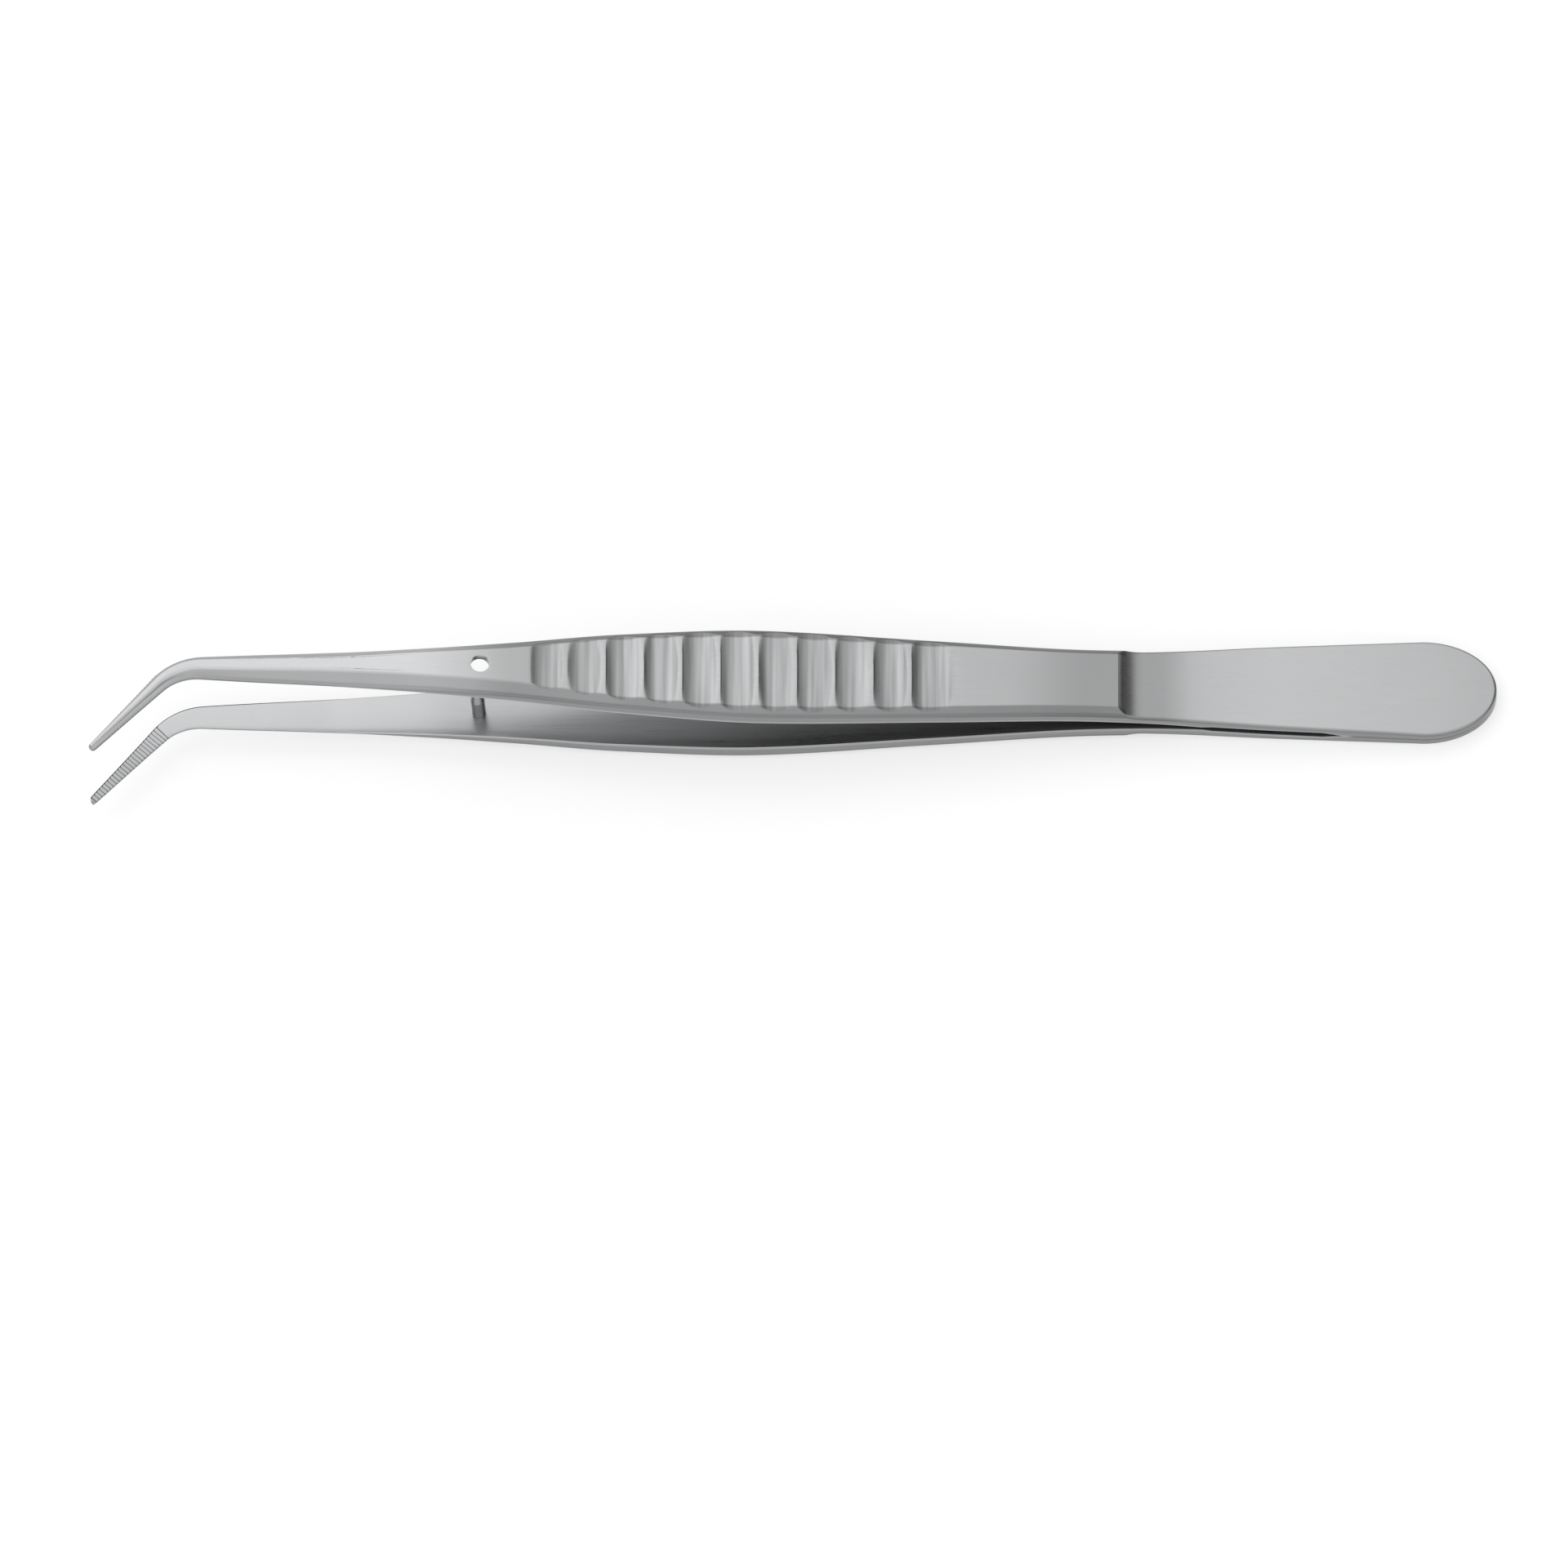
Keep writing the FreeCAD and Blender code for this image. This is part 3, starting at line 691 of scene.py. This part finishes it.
@dataclass
class ArmShape:
    """The closed skin of one arm as an unbent grid, and the node tree that gives it its form."""

    sizes: ArmSizes
    rest: Rest

    def upper_half(self, place: float) -> list[SectionPoint]:
        """Lays out the outer face.

        Args:
            place: Distance along the middle line.

        Returns:
            Points from its middle out to the rim.
        """
        sizes = self.sizes
        width = sizes.half_width(place)
        edge = min(sizes.outer_edge, OUTER_EDGE_LIMIT * width)
        flat = min(sizes.curve("flat").at(place), FLAT_GRID_LIMIT * width)
        bevel = width - edge - flat
        beveled = sizes.ramp(place) > sizes.lift(place) + sizes.curve("side").at(place)
        # The bevels take some of the darker wall colour, most on the grip: painted shade.
        slant = sizes.bevel_shade.at(place) if beveled else 1.0
        spots = [(flat * share, 1.0) for share in FLAT_SHARES]
        spots += [(flat + bevel * share, 1.0 - (1.0 - slant) * max(share, 0.0) / max(CORNER_SHARES))
                  for share in CORNER_SHARES]
        spots += [(flat + bevel * share, slant) for share in BEVEL_SHARES]
        spots += [(width - edge * (1 - math.sin(math.radians(angle))), slant)
                  for angle in RIM_ANGLES]
        # The outer face's brightness along the arm is partly its finish and partly painted shade,
        # darkest round the shoulder.
        polish = sizes.outer_polish_and_shade.at(place)
        points = []
        for across, tone in spots:
            rim = sizes.rim_distance(place, across)
            # The tone falls to the wall colour over the rounded rim: painted shade along the edges.
            around = math.asin(max(1 - rim / edge, 0.0)) / (math.pi / 2)
            points.append(SectionPoint(across, 1.0, rim, tone * (1 - around), polish))
        return points

    def lower_half(self, place: float) -> list[SectionPoint]:
        """Lays out the inner face.

        Args:
            place: Distance along the middle line.

        Returns:
            Points from its middle out to the rim.
        """
        sizes = self.sizes
        width = sizes.half_width(place)
        edge = min(sizes.inner_edge, INNER_EDGE_LIMIT * width)
        spots = [(width - edge) * share for share in LOWER_SHARES]
        spots += [width - edge * (1 - math.sin(math.radians(angle))) for angle in RIM_ANGLES]
        # The inner face darkens towards the slit, where the arms shade each other: painted shade,
        # partly a duller finish. Inside the weld it takes the wall colour.
        polish = sizes.inner_polish_and_shade.at(place)
        tone = 0.0 if place < sizes.weld_end else 1.0
        return [SectionPoint(y, 0.0, sizes.rim_distance(place, y), tone, polish) for y in spots]

    def section(self, place: float) -> list[SectionPoint]:
        """Lays out one ring.

        Args:
            place: Distance along the middle line.

        Returns:
            The points once round the arm, starting at the +y rim of the outer face.
        """
        width = self.sizes.half_width(place)
        upper = self.upper_half(place)
        lower = self.lower_half(place)
        # The side walls take the darker wall colour: painted shade.
        walls = [SectionPoint(width, share, 0.0, 0.0) for share in WALL_SHARES]
        return [*upper[::-1], *mirrored(upper[1:]), *mirrored(walls[::-1]),
                *mirrored(lower[:0:-1]), *lower, *walls]

    def grid(self, name: str) -> Object:
        """Makes the unbent skin, closed at both ends.

        Args:
            name: Name for the object.

        Returns:
            An object whose points carry the sizes of the arm at their place.
        """
        sizes = self.sizes
        rows: dict[str, list[float]] = defaultdict(list)
        points: list[Triple] = []
        rings: list[list[int]] = []
        for place in sizes.ring_places():
            ring = self.section(place)
            width = sizes.half_width(place)
            plain = {key: sizes.curve(key).at(place) for key in ("flat", "side", "thick", "soft")}
            plain |= {
                "flat": min(plain["flat"], FLAT_FORM_LIMIT * width),
                "half_width": width,
                "lift": sizes.lift(place),
                "crown": sizes.crown.at(place),
                "ramp": sizes.ramp(place),
                "inner_edge": sizes.inner_edge if place > sizes.weld_end else 0.0,
            }
            rings.append([len(points) + step for step in range(len(ring))])
            for point in ring:
                points.append((-place, point.across, 0.0))
                own = {key: getattr(point, key) for key in ("rim", "share", "tone", "polish")}
                for key, value in (own | plain).items():
                    rows[key].append(value)
        faces = [rings[0], rings[-1][::-1]]
        count = len(rings[0])
        for first, second in zip(rings, rings[1:]):
            for step in range(count):
                after = (step + 1) % count
                faces.append([first[step], second[step], second[after], first[after]])
        mesh = bpy.data.meshes.new(name)
        mesh.from_pydata(points, [], faces)
        for key, values in rows.items():
            mesh.attributes.new(key, "FLOAT", "POINT").data.foreach_set("value", values)
        return add_object(name, mesh)

    def inputs(self) -> dict[str, float]:
        """Gathers what the node tree takes.

        Returns:
            The named sizes. A flute's round floor has the radius that its depth and width give.
        """
        sizes = self.sizes
        half_chord = (sizes.flute_pitch - sizes.flute_land) / 2
        radius = (half_chord ** 2 + sizes.flute_depth ** 2) / (2 * sizes.flute_depth)
        gain = (sizes.fore_thickness - sizes.waist_thickness) / (sizes.fore - sizes.waist)
        face = (sizes.slit_half_gap + sizes.arm_rise * (sizes.flute_place - sizes.step_end)
                + sizes.waist_thickness + gain * (sizes.flute_place - sizes.waist))
        return {
            "Flute Place": sizes.flute_place,
            "Flute Pitch": sizes.flute_pitch,
            "Last Flute": sizes.flute_count - 1,
            "Flute Depth": sizes.flute_depth,
            "Flute Radius": radius,
            "Flute Level": face + radius - sizes.flute_depth,
            "Flute Slope": sizes.arm_rise + gain,
            "Flute Softness": sizes.flute_softness,
            "Flute Wander": sizes.flute_wander,
            "Wander Turn": sizes.wander_turn,
            "Last Stretch": sizes.last_flute_stretch,
            "Ramp Softness": sizes.ramp_softness,
            "Outer Edge": sizes.outer_edge,
            "Tooth Place": sizes.jaw_start() + sizes.tooth_setback,
            "Tooth Pitch": sizes.tooth_pitch,
            "Last Tooth": sizes.tooth_count - 1,
            "Tooth Depth": sizes.tooth_depth,
            "Tooth Reach": (sizes.tooth_pitch - sizes.tooth_land) / 2,
            "Run": sizes.run,
            "Bend Radius": sizes.bend_radius,
            "Bend Angle": math.radians(sizes.bend_angle),
        }

    def tree(self, hand: Hand, material: Material) -> NodeTree:
        """Writes the rule for the arm's form as a node tree.

        Args:
            hand: Which arm it is.
            material: Its finish.

        Returns:
            A geometry tree with the arm's sizes as named inputs.
        """
        tree = bpy.data.node_groups.new(f"arm_form_{hand.name.lower()}", "GeometryNodeTree")
        tree.interface.new_socket("Geometry", in_out="INPUT", socket_type="NodeSocketGeometry")
        for name, value in self.inputs().items():
            socket = tree.interface.new_socket(name, in_out="INPUT", socket_type="NodeSocketFloat")
            socket.default_value = value
        tree.interface.new_socket("Geometry", in_out="OUTPUT", socket_type="NodeSocketGeometry")
        entry = tree.nodes.new("NodeGroupInput")
        given = {name: Field(tree, entry.outputs[name]) for name in self.inputs()}
        back, across, _ = split(tree, tree.nodes.new("GeometryNodeInputPosition").outputs[0])
        rules = FormRules(tree, given, back * -1.0, across)
        share = stored(tree, "share")
        outer = rules.outer_face()
        cut = outer.blended(rules.flute_level(), given["Flute Softness"])
        rounded = cut - edge_drop(stored(tree, "rim"), given["Outer Edge"])
        height = rules.inner_face().toward(rounded, share) * float(hand.value)
        x, y = rules.bent()
        trough = (outer - cut) / given["Flute Depth"] * share
        spot = add_node(tree, "ShaderNodeCombineXYZ", {"X": x, "Y": y, "Z": height})
        keep = add_node(tree, "GeometryNodeStoreNamedAttribute",
                        {"Geometry": entry.outputs["Geometry"], "Name": "trough", "Value": trough},
                        data_type="FLOAT", domain="POINT")
        move = add_node(tree, "GeometryNodeSetPosition",
                        {"Geometry": keep.outputs[0], "Position": spot.outputs[0]})
        flip = add_node(tree, "GeometryNodeFlipFaces",
                        {0: move.outputs[0], "Selection": hand is Hand.LOWER})
        settle = add_node(tree, "GeometryNodeTransform", {
            "Geometry": flip.outputs[0],
            "Translation": Vector(self.rest.shift) * MILLIMETRE,
            "Rotation": (0.0, math.radians(self.rest.tilt), 0.0),
            "Scale": (MILLIMETRE,) * 3,
        })
        real = add_node(tree, "GeometryNodeRealizeInstances", {"Geometry": settle.outputs[0]})
        paint = add_node(tree, "GeometryNodeSetMaterial",
                         {"Geometry": real.outputs[0], "Material": material})
        add_node(tree, "NodeGroupOutput", {0: paint.outputs[0]})
        return tree


@dataclass(frozen=True)
class GrindingStreaks:
    """Fine streaks left by the grinding, along the arm and, in the flutes, across it, with painted
    shade darkening the flutes' troughs.
    """

    name: str = "grinding_streaks"
    detail: float = 1.5
    roughness: float = 0.6
    trough_steepness: float = 4.0
    spread: float = 0.10
    trough_spread: float = 0.85
    # How much the troughs of the flutes are darkened: painted shade in the hollows.
    trough_shade: float = 0.17
    cloud_scale: float = 120.0
    cloud_detail: float = 2.0
    cloud_share: float = 0.06
    level: float = 0.97

    def group(self) -> NodeTree:
        """Makes the shared group, once.

        Returns:
            A shader group with a streak value and a shade to multiply a colour by.
        """
        if self.name in bpy.data.node_groups:
            return bpy.data.node_groups[self.name]
        tree = bpy.data.node_groups.new(self.name, "ShaderNodeTree")
        for label, way, kind in (("Along", "INPUT", "Vector"), ("Across", "INPUT", "Vector"),
                                 ("Trough", "INPUT", "Float"), ("Streak", "OUTPUT", "Float"),
                                 ("Shade", "OUTPUT", "Color")):
            tree.interface.new_socket(label, in_out=way, socket_type=f"NodeSocket{kind}")
        entry = tree.nodes.new("NodeGroupInput")
        where = tree.nodes.new("ShaderNodeTexCoord").outputs["Object"]
        streaks = []
        for label in ("Along", "Across"):
            stretched = add_node(tree, "ShaderNodeVectorMath", {0: where, 1: entry.outputs[label]},
                                 operation="MULTIPLY")
            noise = add_node(tree, "ShaderNodeTexNoise", {
                "Vector": stretched.outputs[0], "Scale": 1.0,
                "Detail": self.detail, "Roughness": self.roughness})
            streaks.append(Field(tree, noise.outputs[0]))
        share = (Field(tree, entry.outputs["Trough"]) * self.trough_steepness).least(1.0).most(0.0)
        streak = streaks[0].toward(streaks[1], share)
        noise = add_node(tree, "ShaderNodeTexNoise",
                         {"Vector": where, "Scale": self.cloud_scale, "Detail": self.cloud_detail})
        cloud = Field(tree, noise.outputs[0]) * self.cloud_share
        spread = share * self.trough_spread + self.spread
        # The troughs are darkened here: painted shade.
        light = (streak - 0.5) * spread + cloud - share * self.trough_shade + self.level
        add_node(tree, "NodeGroupOutput", {"Streak": streak, "Shade": light})
        return tree


@dataclass(frozen=True)
class SteelFinish:
    """Stainless steel, ground along the part and brought to a satin."""

    name: str
    colour: Triple
    # The walls' colour is darker than the faces' colour to stand in for their shade: painted shade.
    shaded_wall_colour: Triple
    roughness: float
    grain: Triple
    cross_grain: Triple
    streaks: GrindingStreaks = GrindingStreaks()
    gloss_change: float = 0.12
    anisotropy: float = 0.3
    grain_strength: float = 0.6
    grain_height: float = 0.0000015

    def material(self) -> Material:
        """Makes the material.

        Returns:
            A satin steel with fine streaks in its colour, gloss and surface, and painted shade on
            its walls, bevels, inner faces and flute troughs.
        """
        made = bpy.data.materials.new(self.name)
        made.use_nodes = True
        tree = made.node_tree
        tree.nodes.clear()
        given = {"Along": self.grain, "Across": self.cross_grain, "Trough": painted(tree, "trough")}
        grain = add_node(tree, "ShaderNodeGroup", given, node_tree=self.streaks.group())
        streak = grain.outputs["Streak"]
        # Painted shade: walls, rims and bevels mix towards the darker wall colour, and the polish
        # value darkens towards black, partly as a duller finish.
        faced = mixed_colour(
            tree, painted(tree, "tone"), (*self.shaded_wall_colour, 1.0), (*self.colour, 1.0))
        dulled_and_shaded = mixed_colour(tree, painted(tree, "polish"), (0.0, 0.0, 0.0, 1.0), faced)
        bump = add_node(tree, "ShaderNodeBump", {
            "Strength": self.grain_strength, "Distance": self.grain_height, "Height": streak})
        least_gloss = self.roughness - self.gloss_change / 2
        shader = add_node(tree, "ShaderNodeBsdfPrincipled", {
            "Metallic": 1.0,
            "Anisotropic": self.anisotropy,
            "Base Color": mixed_colour(tree, 1.0, dulled_and_shaded, grain.outputs["Shade"], "MULTIPLY"),
            "Roughness": Field(tree, streak) * self.gloss_change + least_gloss,
            "Normal": bump.outputs[0],
        })
        add_node(tree, "ShaderNodeOutputMaterial", {0: shader.outputs[0]})
        return made


@dataclass
class TweezerArm:
    """One arm in one piece: paddle, fluted grip, blade and toothed jaw."""

    name: str
    node: str
    slot: str
    hand: Hand
    bore_place: float
    bore: Profile
    sizes: ArmSizes
    rest: Rest
    bore_margin: float = 1.03
    sharp_angle: float = 32.0

    def build(self, material: Material) -> Object:
        """Makes the arm.

        Args:
            material: Its finish.

        Returns:
            A plain mesh object with its place in its mesh.
        """
        form = ArmShape(self.sizes, self.rest)
        blank = form.grid(f"{self.name}_blank")
        tree = form.tree(self.hand, material)
        modifier = blank.modifiers.new("form", "NODES")
        modifier.node_group = tree
        values = form.inputs()
        for item in tree.interface.items_tree:
            if item.in_out == "INPUT" and item.name in values:
                modifier[item.identifier] = float(values[item.name])
        shaped = add_object(self.name, evaluated_mesh(blank))
        bpy.data.objects.remove(blank)
        self.drill(shaped)
        shade(shaped.data, self.sharp_angle)
        return shaped

    def bore_frame(self) -> Matrix:
        """Returns the frame whose z axis the bore follows."""
        return standing_frame(self.sizes, self.rest, self.hand, self.bore_place)

    def drill(self, shaped: Object) -> None:
        """Drills the round bore that takes the guide pin.

        Args:
            shaped: The arm, whose mesh is replaced.
        """
        profile = [(0.0, self.bore[0][1]), *self.bore, (0.0, self.bore[-1][1])]
        cutter = lathe(f"{self.name}_drill", profile, self.bore_frame())
        modifier = shaped.modifiers.new("bore", "BOOLEAN")
        modifier.operation = "DIFFERENCE"
        modifier.solver = "EXACT"
        modifier.object = cutter
        drilled = evaluated_mesh(shaped)
        shaped.modifiers.clear()
        shaped.data = drilled
        bpy.data.objects.remove(cutter)
        self.finish_bore(drilled)

    def finish_bore(self, mesh: Mesh) -> None:
        """Gives the points that the drill made the colour values, painted shade included, of the
        faces round them.

        Args:
            mesh: The drilled mesh.
        """
        inward = self.bore_frame().inverted()
        widest = self.bore_margin * max(radius for radius, _ in self.bore)
        narrowest = self.bore_margin * min(radius for radius, _ in self.bore)
        middle = self.sizes.curve("thick").at(self.bore_place) / 2
        outer = self.sizes.outer_polish_and_shade.at(self.bore_place)
        inner = self.sizes.inner_polish_and_shade.at(self.bore_place)
        for index, vertex in enumerate(mesh.vertices):
            spot = inward @ vertex.co
            height = spot.z * self.hand.value
            if math.hypot(spot.x, spot.y) > (narrowest if height > middle else widest):
                continue
            mesh.attributes["tone"].data[index].value = 1.0
            mesh.attributes["polish"].data[index].value = outer if height > middle else inner
            mesh.attributes["trough"].data[index].value = 0.0


@dataclass
class GuidePin:
    """The turned pin that stands on the lower arm and enters the hole in the upper one.

    Its shoulder is where the taper starts, given as changes in radius and height there, and
    the nose blend is the like where the round nose starts.
    """

    sizes: ArmSizes
    rest: Rest
    place: float
    radius: float = 0.8
    nose_radius: float = 0.55
    taper: float = 1.6
    free_length: float = 4.8
    seat_depth: float = 1.7
    shank_steps: int = 4
    shoulder: Profile = ((0.0, -0.12), (-0.006, 0.02))
    nose_blend: tuple[float, float] = (0.01, -0.06)
    nose_angles: range = range(8, 88, 10)
    sharp_angle: float = 40.0

    def profile(self) -> list[tuple[float, float]]:
        """Draws the pin's side.

        Returns:
            Radius and height of each corner, from the foot of its seat to its nose.
        """
        start = self.free_length - self.taper
        centre = self.free_length - self.nose_radius
        corners = [(0.0, -self.seat_depth), (self.radius, -self.seat_depth)]
        corners += [(self.radius, start * step / self.shank_steps)
                    for step in range(1, self.shank_steps)]
        corners += [(self.radius + wider, start + higher) for wider, higher in self.shoulder]
        corners += [(self.nose_radius + self.nose_blend[0], centre + self.nose_blend[1])]
        corners += [(self.nose_radius * math.cos(math.radians(angle)),
                     centre + self.nose_radius * math.sin(math.radians(angle)))
                    for angle in self.nose_angles]
        return [*corners, (0.0, self.free_length)]

    def build(self, material: Material) -> Object:
        """Makes the pin.

        Args:
            material: Its finish.

        Returns:
            A plain mesh object with its place in its mesh.
        """
        stand = standing_frame(self.sizes, self.rest, Hand.LOWER, self.place)
        pin = lathe("turned_guide_pin", self.profile(), stand)
        pin.data.materials.append(material)
        for name in ("tone", "polish"):
            values = pin.data.attributes.new(name, "FLOAT", "POINT")
            values.data.foreach_set("value", [1.0] * len(pin.data.vertices))
        shade(pin.data, self.sharp_angle)
        return pin


@dataclass(frozen=True)
class Lobe:
    """A soft patch of light round an axis. It fades from its core to its edge, given as cosines."""

    axis: Triple
    edge: float
    core: float
    strength: float

    def level(self, tree: NodeTree, where: NodeSocket) -> Field:
        """Returns how bright the patch is in each direction."""
        near = add_node(tree, "ShaderNodeVectorMath", {0: where, 1: Vector(self.axis).normalized()},
                        operation="DOT_PRODUCT")
        return Field(tree, near.outputs["Value"]).smooth_step(self.edge, self.core) * self.strength


@dataclass
class Studio:
    """Pale floor, soft surround, lamp and camera."""

    rest: Rest

    # The camera, in the drawing's millimetres and in degrees above the arms' plane.
    frame_width: float = 178.3
    aim: Triple = (-81.15, -11.73, 0.0)
    elevation: float = 62.0
    lens: float = 800.0
    sensor: float = 36.0
    clip: tuple[float, float] = (0.05, 20.0)

    # The floor, in metres. Its glow is weaker in mirrored light towards the back.
    floor_reach: float = 2.5
    floor_colour: Triple = (0.55, 0.55, 0.55)
    floor_glow: float = 0.57
    glow_fade: tuple[float, float] = (0.005, 0.035)
    glow_loss: float = 0.7

    # The surround and the lamp.
    surround: float = 0.42
    above: Lobe = Lobe((-0.33, 0.45, 0.83), 0.56, 0.80, 0.90)
    front: Lobe = Lobe((0.15, -0.60, 0.78), 0.45, 0.85, 0.78)
    gloom: float = 0.38
    gloom_fade: tuple[float, float] = (-0.15, 0.25)
    lamp_direction: Triple = (-0.35, 0.45, 0.84)
    lamp_distance: float = 1.2
    lamp_watts: float = 0.3
    lamp_size: float = 0.7

    def camera(self) -> None:
        """Makes the long lens that looks down across the arms."""
        data = bpy.data.cameras.new("camera")
        data.sensor_width = self.sensor
        data.lens = self.lens
        data.clip_start, data.clip_end = self.clip
        camera = add_object("camera", data)
        height = math.radians(self.elevation)
        back = Vector((0.0, -math.cos(height), math.sin(height)))
        top = Vector((0.0, math.sin(height), math.cos(height)))
        turn = Matrix((top.cross(back), top, back)).transposed().to_4x4()
        away = self.frame_width * MILLIMETRE * self.lens / self.sensor
        aim = self.rest.matrix() @ Vector(self.aim)
        camera.matrix_world = (Matrix.Translation(aim) @ self.rest.turn()
                               @ Matrix.Translation(back * away) @ turn)
        bpy.context.scene.camera = camera

    def floor(self) -> None:
        """Lays the pale floor that keeps the shadow."""
        mesh = bpy.data.meshes.new("floor")
        reach = self.floor_reach
        corners = [(-reach, -reach, 0), (reach, -reach, 0), (reach, reach, 0), (-reach, reach, 0)]
        mesh.from_pydata(corners, [], [(0, 1, 2, 3)])
        floor = add_object("floor", mesh)
        made = bpy.data.materials.new("pale_floor")
        made.use_nodes = True
        tree = made.node_tree
        tree.nodes.clear()
        path = tree.nodes.new("ShaderNodeLightPath")
        where = tree.nodes.new("ShaderNodeTexCoord")
        far = split(tree, where.outputs["Object"])[1].smooth_step(*self.glow_fade)
        seen = Field(tree, path.outputs["Is Glossy Ray"]) * (far * self.glow_loss).flipped()
        for name in ("Is Camera Ray", "Is Transmission Ray"):
            seen = seen.most(Field(tree, path.outputs[name]))
        paint = add_node(tree, "ShaderNodeBsdfDiffuse", {"Color": (*self.floor_colour, 1.0)})
        glow = add_node(tree, "ShaderNodeEmission", {"Strength": seen * self.floor_glow})
        both = add_node(tree, "ShaderNodeAddShader", {0: paint.outputs[0], 1: glow.outputs[0]})
        add_node(tree, "ShaderNodeOutputMaterial", {0: both.outputs[0]})
        mesh.materials.append(made)

    def sky(self) -> None:
        """Makes a soft surround with two bright patches, darker on the right at the back."""
        world = bpy.data.worlds.new("studio")
        bpy.context.scene.world = world
        world.use_nodes = True
        tree = world.node_tree
        tree.nodes.clear()
        where = tree.nodes.new("ShaderNodeTexCoord").outputs["Generated"]
        side, depth, _ = split(tree, where)
        right = side.most(0.0)
        gloom = right * right * depth.smooth_step(*self.gloom_fade)
        patches = self.above.level(tree, where).most(self.front.level(tree, where))
        level = patches - gloom * self.gloom + self.surround
        path = tree.nodes.new("ShaderNodeLightPath")
        seen = Field(tree, path.outputs["Is Camera Ray"])
        back = add_node(tree, "ShaderNodeBackground", {"Strength": level.most(seen)})
        add_node(tree, "ShaderNodeOutputWorld", {0: back.outputs[0]})

    def lamp(self) -> None:
        """Hangs one soft panel that shines on the tweezers."""
        data = bpy.data.lights.new("key_panel", "AREA")
        data.shape = "DISK"
        data.size = self.lamp_size
        data.energy = self.lamp_watts
        lamp = add_object("key_panel", data)
        toward = Vector(self.lamp_direction).normalized()
        lamp.location = toward * self.lamp_distance
        lamp.rotation_mode = "QUATERNION"
        lamp.rotation_quaternion = toward.to_track_quat("Z", "Y")

    def build(self) -> None:
        """Sets up the whole studio."""
        self.camera()
        self.floor()
        self.sky()
        self.lamp()
        bpy.context.scene.view_settings.view_transform = "Standard"


ARM_STEEL = SteelFinish(
    name="satin_arm_steel", colour=(0.66, 0.665, 0.672), shaded_wall_colour=(0.27, 0.273, 0.277),
    roughness=0.29, grain=(70.0, 3600.0, 3600.0), cross_grain=(1500.0, 60.0, 60.0))
PIN_STEEL = SteelFinish(
    name="turned_pin_steel", colour=(0.34, 0.345, 0.35), shaded_wall_colour=(0.34, 0.345, 0.35),
    roughness=0.20, grain=(500.0, 500.0, 9000.0), cross_grain=(500.0, 500.0, 9000.0))

# Places of the hole and the pin along the arms, and the radius and height of the
# corners of their bores, from the inner face.
HOLE_PLACE = 115.846
PIN_PLACE = 115.9
GUIDE_HOLE = ((2.05, -0.25), (1.07, 1.60), (1.07, 4.0))
PIN_SEAT = ((0.81, -1.7), (0.81, 1.7))


def main() -> None:
    """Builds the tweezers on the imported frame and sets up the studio."""
    logging.basicConfig(level=logging.INFO, format="%(message)s")
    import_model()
    rest = Rest()
    sizes = ArmSizes()
    steel = ARM_STEEL.material()
    upper = TweezerArm("upper_arm", "hole_arm", "arm_steel", Hand.UPPER, HOLE_PLACE, GUIDE_HOLE,
                       sizes, rest)
    lower = TweezerArm("lower_arm", "pin_arm", "arm_steel", Hand.LOWER, PIN_PLACE, PIN_SEAT,
                       sizes, rest)
    for arm in (upper, lower):
        shaped = arm.build(steel)
        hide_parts(arm.node)
        if arm.hand is Hand.UPPER:
            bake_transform(shaped)
        else:
            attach(shaped, "pin_side")
        LOG.info("%s: %d faces", arm.name, len(shaped.data.polygons))
    pin = GuidePin(sizes, rest, PIN_PLACE).build(PIN_STEEL.material())
    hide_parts("guide_pin")
    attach(pin, "pin_side")
    LOG.info("guide pin: %d faces", len(pin.data.polygons))
    Studio(rest).build()


if __name__ == "__main__":
    main()
